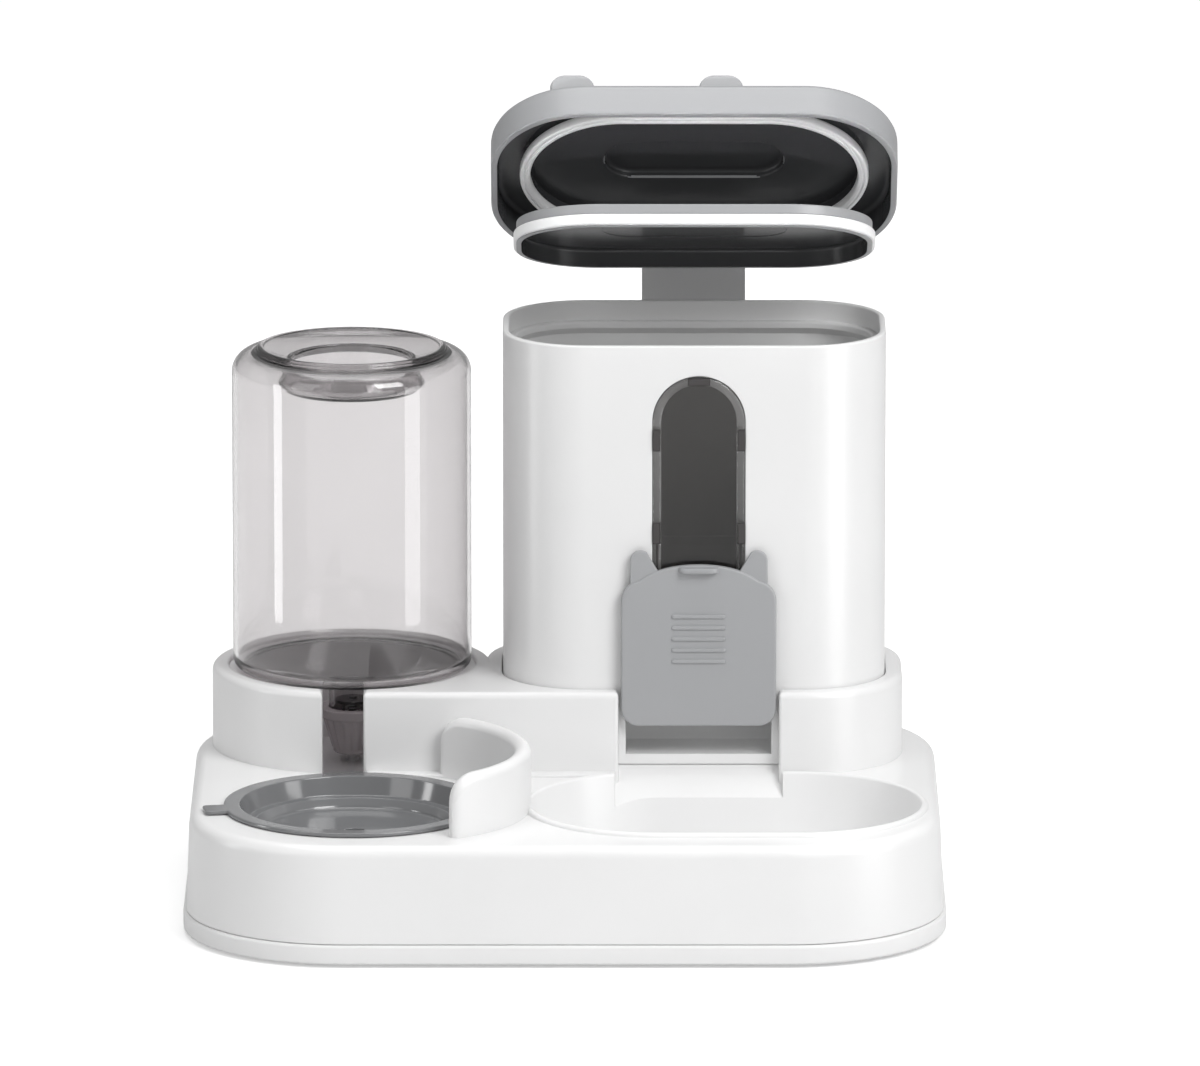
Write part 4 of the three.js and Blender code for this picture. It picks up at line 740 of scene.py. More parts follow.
# Moulded plastics: tone names one of the colours above, scale and grain are those of the fine
# noise, and edge_radius is that of the softened edges
MOULDED = {
    "white_plastic": dict(
        tone="white", roughness=0.30, grain=0.035, scale=420, edge_radius=0.0008),
    "grey_plastic": dict(
        tone="grey", roughness=0.42, grain=0.06, scale=520, edge_radius=0.0006),
    "lid_plastic": dict(
        tone="lid_grey", roughness=0.36, grain=0.05, scale=520, edge_radius=0.0006),
    # Painted light: a much lighter copy of the grey plastic for the hinge plate
    "plate_plastic": dict(
        tone="plate_grey", roughness=0.4, grain=0.05, scale=520, edge_radius=0.0006),
    # Painted shade: the near-black finish of the lids' inner faces, where shade falls under them
    "liner_plastic": dict(
        tone="liner", roughness=0.24, grain=0.05, scale=520, edge_radius=0.0006),
    # The cap's smoky grey, lightened as painted light against the bottle's shadow
    "cap_plastic": dict(
        tone="cap", roughness=0.22, grain=0.03, scale=420, edge_radius=0.0005),
    "bowl_plastic": dict(
        tone="bowl_grey", roughness=0.12, grain=0.02, scale=380, edge_radius=0.0005, specular=0.8),
    "dark_plastic": dict(
        tone="dark", roughness=0.34, grain=0.05, scale=520, edge_radius=0.0004),
    "rubber": dict(
        tone="rubber", roughness=0.68, grain=0.2, scale=700, edge_radius=0.0005, specular=0.3,
        spread=0.05),
    "soft_seal": dict(
        tone="seal", roughness=0.36, grain=0.05, scale=500, edge_radius=0.0005, soft=0.35),
}
# Clear plastics: shadow is the colour that passes into their shadows
CLEAR = {
    "smoky_clear": dict(
        tone="smoky", roughness=0.03, edge_radius=0.0008, shadow=(0.42, 0.40, 0.41),
        smoke="smoke"),
    # The pane's dark tint is painted shade of the bin's inside; the rim keeps plain clear plastic
    "clear_pane": dict(
        tone="clear", roughness=0.02, edge_radius=0.0005, shadow=(0.45, 0.45, 0.45)),
    "rim_clear": dict(
        tone="rim", roughness=0.04, edge_radius=0.0005, shadow=(0.8, 0.8, 0.8)),
}
FINISHES = {}


def finish(slot):
    """The material of a slot or look, made once."""
    if slot not in FINISHES:
        name, tones = slot + "_finish", sizes().finish
        if slot in MOULDED:
            values = dict(MOULDED[slot])
            made = moulded(name, getattr(tones, values.pop("tone")), **values)
        elif slot in CLEAR:
            values = dict(CLEAR[slot])
            base, smoke = getattr(tones, values.pop("tone")), values.pop("smoke", None)
            made = clear_plastic(name, base, smoke=smoke and getattr(tones, smoke), **values)
        else:
            made = bare_steel(name, tones.steel)
        FINISHES[slot] = made
    return FINISHES[slot]


# Tray


def tray_outline(inset):
    """The tray's plan."""
    tray = sizes().tray
    low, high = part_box("base_tray")
    radii = (tray.rear_corner, tray.rear_corner, tray.front_corner, tray.front_corner)
    return inset_box(low, high, radii, inset)


def bin_outline(inset):
    """The bin's plan, drawn in or out."""
    food = sizes().bin
    low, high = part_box("food_bin")
    return inset_box((low.x, low.y), (high.x, low.y + food.depth), [food.corner] * 4, inset)


def bowl_outline(inset):
    """The food bowl's plan: a stadium."""
    bowls = sizes().bowls
    half_x, half_y = bowls.food_width / 2, bowls.food_depth / 2
    return inset_box(
        (bowls.food_x - half_x, bowls.food_y - half_y),
        (bowls.food_x + half_x, bowls.food_y + half_y),
        [half_y - HAIR_GAP / 10] * 4, inset, 2 * CORNER_STEPS)


def food_hollow(grow):
    """The food bowl's hollow."""
    tray, bowls = sizes().tray, sizes().bowls
    rows = [(inset + bowls.food_draft - grow, z)
            for inset, z in edge_steps(bowls.food_fillet, bowls.food_floor - grow, upwards=False)]
    if grow:
        rows += [(-grow, tray.deck), (-grow, tray.deck + 3 * OVERRUN)]
    else:
        rows += rounded_mouth(bowls.lip_width * 0.45, tray.deck + bowls.lip_height)
    return layered(bowl_outline, rows)


def basin_hollow(grow):
    """The basin under the water bowl."""
    tray, bowls = sizes().tray, sizes().bowls
    radius = bowls.rim_radius + bowls.bowl_wall + HAIR_GAP + grow
    floor = bowl_top() - bowls.bowl_depth - bowls.bowl_wall - bowls.basin_gap - grow
    return drum(bowl_centre(), radius, floor, tray.deck + OVERRUN)


def bottle_hollow(grow):
    """The well under the bottle and the bore of its collar."""
    tray, bottle = sizes().tray, sizes().bottle
    bore = extent("water_bottle").x / 2 + bottle.clearance + grow
    well = tray.well_radius + grow
    floor, seat = tray.well_floor - grow, bottle.seat - HAIR_GAP - grow
    profile = [(0, floor), (well, floor), (well, seat), (bore, seat)]
    if grow:
        profile.append((bore, tray.collar_top + OVERRUN))
    else:
        profile += [(bore - inset, z)
                    for inset, z in rounded_mouth(tray.collar_edge / 3, tray.collar_top)]
    profile.append((0, tray.collar_top + OVERRUN))
    return turned(profile, middle("water_bottle"), gap=0)


def bin_hollow(grow):
    """The well in which the bin stands."""
    tray = sizes().tray
    gap = sizes().bin.clearance + grow
    rows = [(-gap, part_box("food_bin")[0].z - HAIR_GAP - grow)]
    if grow:
        rows.append((-gap, tray.collar_top + OVERRUN))
    else:
        rows += [(inset - gap, z)
                 for inset, z in rounded_mouth(tray.collar_edge / 4, tray.collar_top)]
    return layered(bin_outline, rows)


def floor_between(floors, y):
    """The floor's height at y, on the line between the given places."""
    for (first, low), (second, high) in zip(floors, floors[1:]):
        if first <= y <= second:
            return low + (high - low) * (y - first) / (second - first)
    return floors[-1][1] if y > floors[-1][0] else floors[0][1]


def channel(x, half, floors):
    """A way cut through the front wall: level floor, upright sides that flare at the top, and
    wider in front of the wall's face, with a rounded upright edge there."""
    tray = sizes().tray
    top, flare, face = tray.collar_top, tray.slot_flare, wall_face()
    depth = flare * 0.7
    rings = [(y, floor, half + (depth if y <= face else 0)) for y, floor in floors]
    for i in range(1, EDGE_STEPS + 1):
        a = QUARTER * i / EDGE_STEPS
        y = face + depth * (1 - math.cos(a))
        rings.append((y, floor_between(floors, y), half + depth * (1 - math.sin(a))))
    rings.append((face, floor_between(floors, face), half + depth))
    rings.sort()
    kept = rings[:1]
    for ring in rings[1:]:
        if ring[0] - kept[-1][0] > EDGE_LEAST / 10:
            kept.append(ring)
    sections = []
    for y, floor, across in kept:
        side = [(across, floor)] + arc((across + flare, top - flare), flare, HALF, QUARTER)
        side.append((across + flare, top + OVERRUN))
        outline = [(-px, z) for px, z in reversed(side)] + side
        sections.append([Vector((x + px, y, z)) for px, z in outline])
    return loft(sections)


def wall_face():
    """The front face of the wall between deck and collars."""
    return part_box("food_bin")[0].y - sizes().bin.clearance - sizes().tray.collar_wall


def chute_hollow(grow):
    """The chute under the gate."""
    tray = sizes().tray
    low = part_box("food_bin")[0]
    high = low.z - HAIR_GAP - grow
    floors = [(wall_face() - tray.chute_reach, high - tray.chute_drop), (low.y + OVERRUN, high)]
    return channel(middle("feed_gate").x, tray.chute_width / 2 + grow, floors)


def slot_hollow(grow):
    """The slot in front of the bottle's neck."""
    tray = sizes().tray
    floor = tray.well_floor - grow
    floors = [(bowl_centre()[1], floor), (middle("water_bottle").y, floor)]
    return channel(tray.slot_middle, tray.slot_width / 2 + grow, floors)


def hollows(grow):
    """Every hollow in the tray's top."""
    return [food_hollow(grow), basin_hollow(grow), bottle_hollow(grow), bin_hollow(grow),
            chute_hollow(grow), slot_hollow(grow)]


def collar_solids(shrink):
    """Both collars and the wall between them, or their hollow cores."""
    tray = sizes().tray
    foot = tray.deck - tray.deck_edge
    if shrink:
        rows = [(shrink, foot), (shrink, tray.collar_top - shrink)]
    else:
        rows = [(0.0, foot)] + edge_steps(tray.collar_edge, tray.collar_top)
    gap = sizes().bin.clearance + tray.collar_wall
    bin_collar = layered(lambda inset: bin_outline(inset - gap), rows)
    centre = middle("water_bottle")
    radius = extent("water_bottle").x / 2 + sizes().bottle.clearance + tray.collar_wall
    profile = [(0, rows[0][1])] + [(radius - inset, z) for inset, z in rows] + [(0, rows[-1][1])]
    low = (centre.x - tray.collar_wall, wall_face())
    high = (middle("food_bin").x + tray.collar_wall, centre.y)
    radii = [tray.collar_edge * 1.25] * 4
    bridge = layered(lambda inset: inset_box(low, high, radii, inset), rows)
    return [bin_collar, turned(profile, centre, gap=0), bridge]


def splash_wall():
    """The curved wall between the bowls, rounded along its top and at both ends."""
    tray = sizes().tray
    half = tray.splash_wall / 2
    radius = tray.splash_radius + half
    foot = tray.deck - tray.deck_edge
    turn = tray.splash_end / radius
    steps = 2 * EDGE_STEPS
    ends = [turn * (1 - math.cos(QUARTER * i / steps)) for i in range(steps + 1)]
    spread = tray.splash_to - tray.splash_from - 2 * turn
    places = [tray.splash_from + a for a in ends]
    places += [tray.splash_from + turn + spread * i / ROUND_STEPS for i in range(1, ROUND_STEPS)]
    places += [tray.splash_to - a for a in reversed(ends)]
    rings = []
    for a in places:
        from_end = radius * min(a - tray.splash_from, tray.splash_to - a)
        run = max(tray.splash_end - from_end, 0)
        drop = tray.splash_end - math.sqrt(max(tray.splash_end ** 2 - run ** 2, 0))
        nose = max(math.sqrt(1 - (1 - min(from_end / half, 1)) ** 2), tray.splash_nose) * half
        outline = [(-nose, foot), (nose, foot)]
        outline += arc((0, tray.splash_top - drop - half), nose, 0, HALF, 3 * EDGE_STEPS)
        rings.append([Vector((tray.splash_x + (radius + across) * math.cos(a),
                              tray.splash_y + (radius + across) * math.sin(a), z))
                      for across, z in outline])
    return loft(rings)


def screw_bars(radius, bottom, top):
    """Round bars where the cover's screws stand."""
    return [drum(middle("cover_screw_" + str(i)), radius, bottom, top, ROUND_STEPS // 4)
            for i in range(1, 7)]


class FEEDER_OT_tray(bpy.types.Operator):
    """Build the base tray"""

    bl_idname = "feeder.tray"
    bl_label = "Base tray"

    def execute(self, context):
        tray, bowls = sizes().tray, sizes().bowls
        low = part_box("base_tray")[0]
        wall = tray.cover_plate
        foot = tray.deck - tray.deck_edge
        deck = slab(tray_outline, low.z, tray.deck, top_edge=tray.deck_edge, lean=tray.draft)
        lip = layered(lambda inset: bowl_outline(inset - bowls.lip_width),
                      [(0.0, foot)] + edge_steps(bowls.lip_height, tray.deck + bowls.lip_height))
        left = (tray.slot_middle + tray.slot_width / 2, wall_face() - tray.step_depth)
        right = (middle("feed_gate").x, wall_face() + tray.step_depth)
        step = slab(lambda inset: inset_box(left, right, [tray.step_height] * 4, inset),
                    foot, tray.deck + tray.step_height, top_edge=tray.step_height / 2)
        outside = fused(deck, *collar_solids(0), lip, step, splash_wall())
        core = prism(tray_outline(wall + tray.draft), low.z - OVERRUN, tray.deck - wall)
        core = carved(fused(core, *collar_solids(wall)), *hollows(wall))
        shell = carved(outside, *hollows(0), core)
        post_foot, post_top = tray.well_floor - wall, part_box("valve_stem")[0].z - HAIR_GAP
        post = [(0, post_foot), (tray.post_radius, post_foot)]
        post += [(tray.post_radius - inset, z)
                 for inset, z in edge_steps(tray.post_radius / 3, post_top)] + [(0, post_top)]
        shell = fused(shell, turned(post, middle("water_bottle"), ROUND_STEPS // 2, gap=0))
        bosses = screw_bars(tray.boss_radius, low.z, tray.deck - wall / 2)
        pilots = screw_bars(tray.boss_radius / 2, low.z - OVERRUN,
                            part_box("cover_screw_1")[1].z + OVERRUN)
        piece("base_tray", carved(fused(shell, *bosses), *pilots), "base", "white_plastic")
        return {"FINISHED"}


class FEEDER_OT_cover(bpy.types.Operator):
    """Build the bottom cover"""

    bl_idname = "feeder.cover"
    bl_label = "Bottom cover"

    def execute(self, context):
        tray = sizes().tray
        low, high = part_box("bottom_cover")
        grown = high.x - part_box("base_tray")[1].x
        under, over = low.z - OVERRUN, high.z + OVERRUN
        body = slab(lambda inset: tray_outline(inset - grown), low.z, high.z,
                    top_edge=tray.cover_edge, bottom_edge=tray.cover_edge)
        inside = prism(tray_outline(tray.cover_rim), low.z + tray.cover_plate, over)
        posts = screw_bars(tray.boss_radius, low.z + tray.cover_plate / 2, high.z)
        holes = screw_bars(tray.boss_radius / 2, under, over)
        for i in range(1, 7):
            screw = "cover_screw_" + str(i)
            holes.append(drum(middle(screw), extent(screw).x / 2 + HAIR_GAP, under,
                              low.z + tray.cover_plate - HAIR_GAP, ROUND_STEPS // 2))
        for i in range(1, 5):
            foot = "rubber_foot_" + str(i)
            holes.append(drum(middle(foot), extent(foot).x / 2 + HAIR_GAP, under,
                              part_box(foot)[1].z + HAIR_GAP))
        shell = carved(fused(carved(body, inside), *posts), *holes)
        piece("bottom_cover", shell, "base", "white_plastic")
        return {"FINISHED"}


# Water bowl, bottle and cap

# Where a rounding meets a wall that leans, as shares of a half turn
STEEP_END, LEANING_END, SHALLOW_START = 0.92, 0.85, 0.42


def bowl_top():
    """Height of the water bowl's flange."""
    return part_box("water_bowl")[1].z


def bowl_centre():
    """Centre of the water bowl: its box less the tab, which stands out to the left."""
    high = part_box("water_bowl")[1]
    radius = sizes().bowls.flange_radius
    return high.x - radius, high.y - radius


class FEEDER_OT_water_bowl(bpy.types.Operator):
    """Build the water bowl"""

    bl_idname = "feeder.water_bowl"
    bl_label = "Water bowl"

    def execute(self, context):
        bowls = sizes().bowls
        x, y = bowl_centre()
        top, wall, outer = bowl_top(), bowls.bowl_wall, bowls.flange_radius
        floor, ledge = top - bowls.bowl_depth, top - bowls.ledge_drop
        edge, lean = wall * 0.35, wall * 0.2
        bend, rim = 2 * edge, edge / 2
        profile = [
            (bowls.drain_radius, floor - wall), (bowls.floor_radius + wall, floor - wall),
            (bowls.floor_radius + wall + lean, ledge - wall),
            (bowls.ledge_radius + wall, ledge - wall), (bowls.rim_radius + wall, top - wall),
            (outer - edge, top - wall),
        ]
        ledge_end = bowls.ledge_radius - bowls.ledge_width
        for centre, radius, start, end in (
                ((outer - edge, top - wall + edge), edge, -QUARTER, 0),
                ((outer - edge, top - edge), edge, 0, QUARTER),
                ((bowls.rim_radius + edge, top - edge), edge, QUARTER, HALF * STEEP_END),
                ((bowls.ledge_radius - edge, ledge + edge), edge, 0, -QUARTER),
                ((ledge_end + edge, ledge - edge), edge, QUARTER, HALF * LEANING_END),
                ((bowls.floor_radius - bend, floor + bend), bend, 0, -QUARTER),
                ((bowls.drain_radius + rim, floor - rim), rim, QUARTER, HALF)):
            profile += arc(centre, radius, start, end)
        half = bowls.tab_width / 2
        near, far = (outer - bowls.tab_length / 2, -half), (outer + bowls.tab_length, half)
        tab = slab(lambda inset: inset_box(near, far, [half / 3] * 4, inset),
                   top - wall, top, top_edge=edge, bottom_edge=edge)
        tab.transform(Matrix.Translation((x, y, 0)) @ Matrix.Rotation(bowls.tab_angle, 4, "Z"))
        shell = fused(turned(profile, (x, y)), tab)
        piece("water_bowl", shell, "bowl", "grey_plastic", look="bowl_plastic")
        return {"FINISHED"}


class FEEDER_OT_bottle(bpy.types.Operator):
    """Build the water bottle"""

    bl_idname = "feeder.bottle"
    bl_label = "Water bottle"

    def execute(self, context):
        bottle = sizes().bottle
        low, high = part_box("water_bottle")
        radius = (high.x - low.x) / 2
        top, wall, seat, heel = high.z, bottle.wall, bottle.seat, bottle.heel
        edge = wall * 0.45
        crown = top - bottle.ring_height
        floor, mouth = top - bottle.grip_depth, top - bottle.grip_drop
        ring, shoulder, grip = bottle.ring_radius, bottle.shoulder, bottle.grip_floor - wall
        outside = [(bottle.neck_radius, low.z), (bottle.neck_radius, bottle.neck_top),
                   (sizes().tray.well_radius - bottle.clearance, seat)]
        for centre, bend, start, end, steps in (
                ((radius - heel, seat + heel), heel, -QUARTER, 0, 2 * EDGE_STEPS),
                ((radius - shoulder, crown - shoulder), shoulder, 0, QUARTER, 3 * EDGE_STEPS),
                ((ring + 2 * edge, crown + edge), edge, -QUARTER, -HALF, EDGE_STEPS),
                ((ring - edge, top - edge), edge, 0, QUARTER, EDGE_STEPS),
                ((ring - wall, top - edge), edge, QUARTER, HALF * LEANING_END, EDGE_STEPS),
                ((bottle.grip_mouth + edge, mouth - edge), edge, HALF * SHALLOW_START, HALF,
                 EDGE_STEPS),
                ((grip, floor + wall), wall, 0, -QUARTER, EDGE_STEPS)):
            outside += arc(centre, bend, start, end, steps)
        inner, roof, bottom = radius - wall, crown - wall, seat + wall
        shoulder = bottle.shoulder - wall
        inside = [(grip, floor - wall)] + arc((grip, floor + wall), 2 * wall, -QUARTER, 0)
        inside.append((bottle.grip_mouth + wall + edge, mouth - 2 * wall))
        inside += arc((inner - shoulder, roof - shoulder), shoulder, QUARTER, 0, 3 * EDGE_STEPS)
        inside += arc((inner - heel, bottom + heel), heel, 0, -QUARTER, 2 * EDGE_STEPS)
        bore = bottle.neck_radius - bottle.neck_wall
        inside += [(bore, bottle.neck_top + wall / 2), (bore, low.z)]
        shell = turned(outside + inside, middle("water_bottle"), gap=len(outside))
        piece("water_bottle", shell, "bottle", "smoky_clear")
        return {"FINISHED"}


class FEEDER_OT_cap(bpy.types.Operator):
    """Build the bottle's cap"""

    bl_idname = "feeder.cap"
    bl_label = "Bottle cap"

    def execute(self, context):
        bottle = sizes().bottle
        low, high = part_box("bottle_cap")
        centre = middle("water_bottle")
        band = (high.x - low.x) / 2
        band_bottom = high.z - bottle.cap_band
        edge = bottle.cap_wall * 0.4
        web_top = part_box("valve_cage")[0].z - HAIR_GAP
        web_bottom = web_top - bottle.cap_web

        def ribbed(radius, depth, z):
            ring = []
            for i in range(2 * ROUND_STEPS):
                a = HALF * i / ROUND_STEPS
                reach = radius - depth * (0.5 + 0.5 * math.cos(bottle.cap_ribs * a)) ** 2
                across, along = reach * math.cos(a), reach * math.sin(a)
                ring.append(Vector((centre.x + across, centre.y + along, z)))
            return ring

        mouth, rib = bottle.cap_mouth, bottle.cap_rib
        cone = loft([ribbed(radius, depth, z) for radius, depth, z in (
            (mouth - edge, 0, low.z), (mouth, 0, low.z + edge), (mouth, 0, low.z + bottle.cap_wall),
            (mouth + rib, rib, low.z + bottle.cap_wall * 1.6),
            (bottle.cap_radius, rib, band_bottom + edge))])
        rim = [(0, band_bottom - edge), (band - 2 * edge, band_bottom - edge)]
        rim += arc((band - edge, band_bottom + edge), edge, -QUARTER, 0)
        rim += arc((band - edge, high.z - edge), edge, 0, QUARTER)
        body = fused(cone, turned(rim + [(0, high.z)], centre, gap=0))
        bores = [drum(centre, radius, bottom, top) for radius, bottom, top in (
            (bottle.neck_radius + HAIR_GAP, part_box("cap_gasket")[0].z - HAIR_GAP, high.z + OVERRUN),
            (extent("valve_cage").x / 2 + 2 * HAIR_GAP, web_top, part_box("water_bottle")[0].z),
            (mouth - bottle.cap_wall, low.z - OVERRUN, web_bottom),
            (bottle.valve_hole, web_bottom - OVERRUN, web_top + OVERRUN))]
        # The cap wears its smoky grey, lightened as painted light against the bottle's shadow
        piece("bottle_cap", carved(body, *bores), "cap", "dark_plastic", look="cap_plastic")
        return {"FINISHED"}


# Food bin, window and gate


def mouth_outline(grow):
    """The hopper's mouth, over the outlet."""
    food = sizes().bin
    x = middle("feed_gate").x
    half = food.outlet_width / 2 - HAIR_GAP + grow
    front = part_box("food_bin")[0].y + food.wall + HAIR_GAP + food.hopper_rim - grow
    rear = front + food.mouth_depth + 2 * grow
    return rounded_box((x - half, front), (x + half, rear), [2 * food.edge + grow] * 4)


def window_shape(grow):
    """The window's arch in X and Z, drawn out by an amount."""
    food = sizes().bin
    x, half = middle("feed_gate").x, food.window_width / 2
    bottom = food.window_bottom - grow
    outline = [(x - half - grow, bottom), (x + half + grow, bottom)]
    return outline + arc((x, food.window_top - half), half + grow, 0, HALF, 3 * CORNER_STEPS)


def bin_shelf():
    """A shelf round the sides and rear of the bin, on which the hopper stands."""
    food = sizes().bin
    low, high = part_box("food_bin")
    top = food.hopper_top - food.hopper_rim_height - food.shelf_drop
    bottom = top - food.shelf_height
    ring = prism(bin_outline(food.wall / 2), bottom, top)
    hole = prism(bin_outline(food.wall + food.shelf_width), bottom - OVERRUN, top + OVERRUN)
    front = crate((low.x - OVERRUN, low.y - OVERRUN, bottom - OVERRUN),
                  (high.x + OVERRUN, low.y + food.corner, top + OVERRUN))
    return carved(ring, hole, front)


def channel_walls():
    """The channel behind the bin that guides the hinge plate."""
    food = sizes().bin
    low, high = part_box("food_bin")
    x, wall, top = middle("food_bin").x, food.channel_wall, food.channel_top
    half = sizes().lids.plate_width / 2 + HAIR_GAP
    bottom = top - food.channel_length
    front = low.y + food.depth - food.wall / 2
    solids = []
    for side in (-1, 1):
        for inner, y in ((half, front), (half - food.channel_lip, high.y - wall)):
            near, far = sorted((x + side * inner, x + side * (half + wall)))
            solids.append(crate((near, y, bottom), (far, high.y, top), wall / 4))
    return solids + [crate((x - half, front, bottom), (x + half, high.y, bottom + wall), wall / 4)]


def gate_slots():
    """The two slots in which the gate's lugs run."""
    food = sizes().bin
    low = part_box("food_bin")[0].y
    half = food.lug_width / 2 + HAIR_GAP
    bottom = food.rib_middle - food.lug_height / 2 - food.travel_down - OVERRUN / 2
    top = food.rib_middle + food.lug_height / 2 + food.travel_up + OVERRUN / 2
    middles = [middle("feed_gate").x + side * food.lug_offset for side in (-1, 1)]
    return [crate((x - half, low - OVERRUN, bottom), (x + half, low + food.wall + OVERRUN, top))
            for x in middles]


class FEEDER_OT_bin(bpy.types.Operator):
    """Build the food bin"""

    bl_idname = "feeder.bin"
    bl_label = "Food bin"

    def execute(self, context):
        food = sizes().bin
        low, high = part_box("food_bin")
        wall, slope = food.wall, food.ledge_slope
        back = low.y + wall
        ledge_z, ledge = high.z - food.ledge_drop, wall + food.ledge_width
        bend = food.ledge_width * 0.3
        shell = layered(bin_outline, [(0.0, low.z)] + edge_steps(food.edge * 1.4, high.z))
        rows = [(wall, low.z - OVERRUN), (wall, ledge_z - slope), (ledge, ledge_z - slope / 2)]
        rows += [(ledge + inset, z) for inset, z in rounded_mouth(bend, ledge_z)[:-1]]
        inside = layered(bin_outline, rows + [(ledge - bend, ledge_z + OVERRUN / 10)])
        rows = [(wall, ledge_z)]
        rows += [(wall + inset, z) for inset, z in rounded_mouth(food.edge, high.z)]
        rim = layered(bin_outline, rows)
        x, half = middle("feed_gate").x, food.outlet_width / 2
        outlet = crate((x - half, low.y - OVERRUN, food.hopper_floor),
                       (x + half, back + OVERRUN, food.hopper_floor + food.outlet_height))
        window = upright(window_shape(HAIR_GAP), low.y - OVERRUN, back + OVERRUN)
        pocket = upright(window_shape(food.window_flange + HAIR_GAP), back,
                         back + food.flange_thickness + 2 * HAIR_GAP)
        body = carved(fused(shell, *channel_walls()), inside, rim, outlet, window, pocket)
        body = carved(fused(body, bin_shelf()), *gate_slots())
        piece("food_bin", body, "bin", "white_plastic")
        return {"FINISHED"}


class FEEDER_OT_hopper(bpy.types.Operator):
    """Build the hopper inside the bin"""

    bl_idname = "feeder.hopper"
    bl_label = "Hopper"

    def execute(self, context):
        food = sizes().bin
        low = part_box("food_bin")[0]
        seat = food.wall + HAIR_GAP
        rim = seat + food.hopper_rim
        top, floor = food.hopper_top, food.hopper_floor
        bottom = top - food.hopper_rim_height
        edge = food.hopper_rim / 3

        def funnel(grow, inset, ends):
            foot = at_height(mouth_outline(grow), floor - grow)
            rows = [(0.0, bottom)] + ends
            return loft([foot] + [at_height(bin_outline(inset + more), z) for more, z in rows])

        outside = funnel(food.wall, seat, edge_steps(edge, top))
        column = prism(bin_outline(seat), low.z, top + OVERRUN)
        half = food.lug_offset + food.lug_head / 2 + 2 * HAIR_GAP
        x, back = middle("feed_gate").x, low.y + seat + food.lug_head_thickness + 2 * HAIR_GAP
        front = crate((x - half, low.y, floor), (x + half, back, top + 2 * OVERRUN))
        shape = carved(combined(outside, [column], "INTERSECT"),
                       funnel(0, rim, rounded_mouth(edge, top)), front)
        piece("bin_hopper", shape, "bin", "white_plastic")
        return {"FINISHED"}


class FEEDER_OT_window(bpy.types.Operator):
    """Build the window"""

    bl_idname = "feeder.window"
    bl_label = "Window"

    def execute(self, context):
        food = sizes().bin
        low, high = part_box("window_pane")
        wall_back = high.y - food.flange_thickness
        bead, rim, relief_depth = food.window_bead, food.window_rim, food.window_relief
        back, bead_depth, deepest = low.y + relief_depth, bead * 0.6, relief_depth * 0.9
        rounding = [(bead * (1 - math.sin(a)), bead_depth * (1 - math.cos(a))) for a in BEAD_ANGLES]

        def arches(rows):
            return loft([[Vector((x, y, z)) for x, z in window_shape(-inset)] for y, inset in rows])

        plug = arches([(low.y + deep, inset) for inset, deep in rounding] + [(wall_back, 0.0)])
        flange = upright(window_shape(food.window_flange), wall_back, high.y)
        rows = [(low.y - OVERRUN, rim - bead)]
        rows += [(low.y + min(deep, deepest), rim - inset) for inset, deep in rounding]
        hollow = arches(rows + [(back, rim)])
        grown = Vector((HAIR_GAP, HAIR_GAP, HAIR_GAP))
        clips = [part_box("window_clip_" + str(i)) for i in range(1, 6)]
        pockets = [crate(clip_low - grown, clip_high + grown) for clip_low, clip_high in clips]
        x, half = middle("feed_gate").x, food.window_width / 2
        spring, front = food.window_top - half, back - HAIR_GAP / 10

        def is_rim(place, _):
            across = abs(place.x - x)
            if place.z > spring:
                across = math.hypot(across, place.z - spring)
            within = min(half - across, place.z - food.window_bottom)
            return place.y < front and within < rim

        # The pane within its rim takes the dark tint that paints the bin's inner shade; the rim stays
        # clear
        pane = lined(carved(fused(plug, flange), hollow, *pockets), is_rim)
        piece("window_pane", pane, "bin", "clear_pane", liner="rim_clear", name="window")
        return {"FINISHED"}


def bezier(start, control, end):
    """Points on a quadratic curve after its start."""
    points = []
    for i in range(1, CORNER_STEPS + 1):
        t = i / CORNER_STEPS
        points.append(tuple((1 - t) ** 2 * a + 2 * t * (1 - t) * b + t ** 2 * c
                            for a, b, c in zip(start, control, end)))
    return points


def plate_at(outline, back, front, edge, steps=3):
    """An outline in X and Z drawn forwards to a rounded front edge, shrunk about its middle."""
    low_x, high_x = min(p[0] for p in outline), max(p[0] for p in outline)
    low_z, high_z = min(p[1] for p in outline), max(p[1] for p in outline)
    middle_x, middle_z = (low_x + high_x) / 2, (low_z + high_z) / 2
    turns = [QUARTER * i / steps for i in range(steps + 1)]
    rings = [(back, 0.0)] + [(front + edge * (1 - math.sin(a)), edge * (1 - math.cos(a)))
                             for a in turns]
    made = []
    for y, inset in rings:
        scale_x = 1 - 2 * inset / (high_x - low_x)
        scale_z = 1 - 2 * inset / (high_z - low_z)
        made.append([Vector((middle_x + (x - middle_x) * scale_x, y,
                             middle_z + (z - middle_z) * scale_z)) for x, z in outline])
    return loft(made)


def gate_ear(x, half, side, front):
    """One of the gate's ears: upright outside, round on top, sloping in to the crown."""
    food = sizes().bin
    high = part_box("feed_gate")[1].z
    corner, shoulder, thickness = food.gate_corner, food.gate_shoulder, food.ear_thickness
    outer = half - corner / 2
    tip, inner = food.ear_width / 3, outer - food.ear_width
    outline = [(outer, shoulder - corner / 2)]
    outline += arc((outer - tip, high - tip), tip, 0, HALF * 0.7, CORNER_STEPS)
    outline += [(inner, shoulder + corner / 2), (inner, shoulder - corner / 2)]
    outline = [(x + side * across, z) for across, z in outline]
    ear_front = front + food.gate_plate / 3
    return plate_at(outline, ear_front + thickness, ear_front, thickness * 0.35)


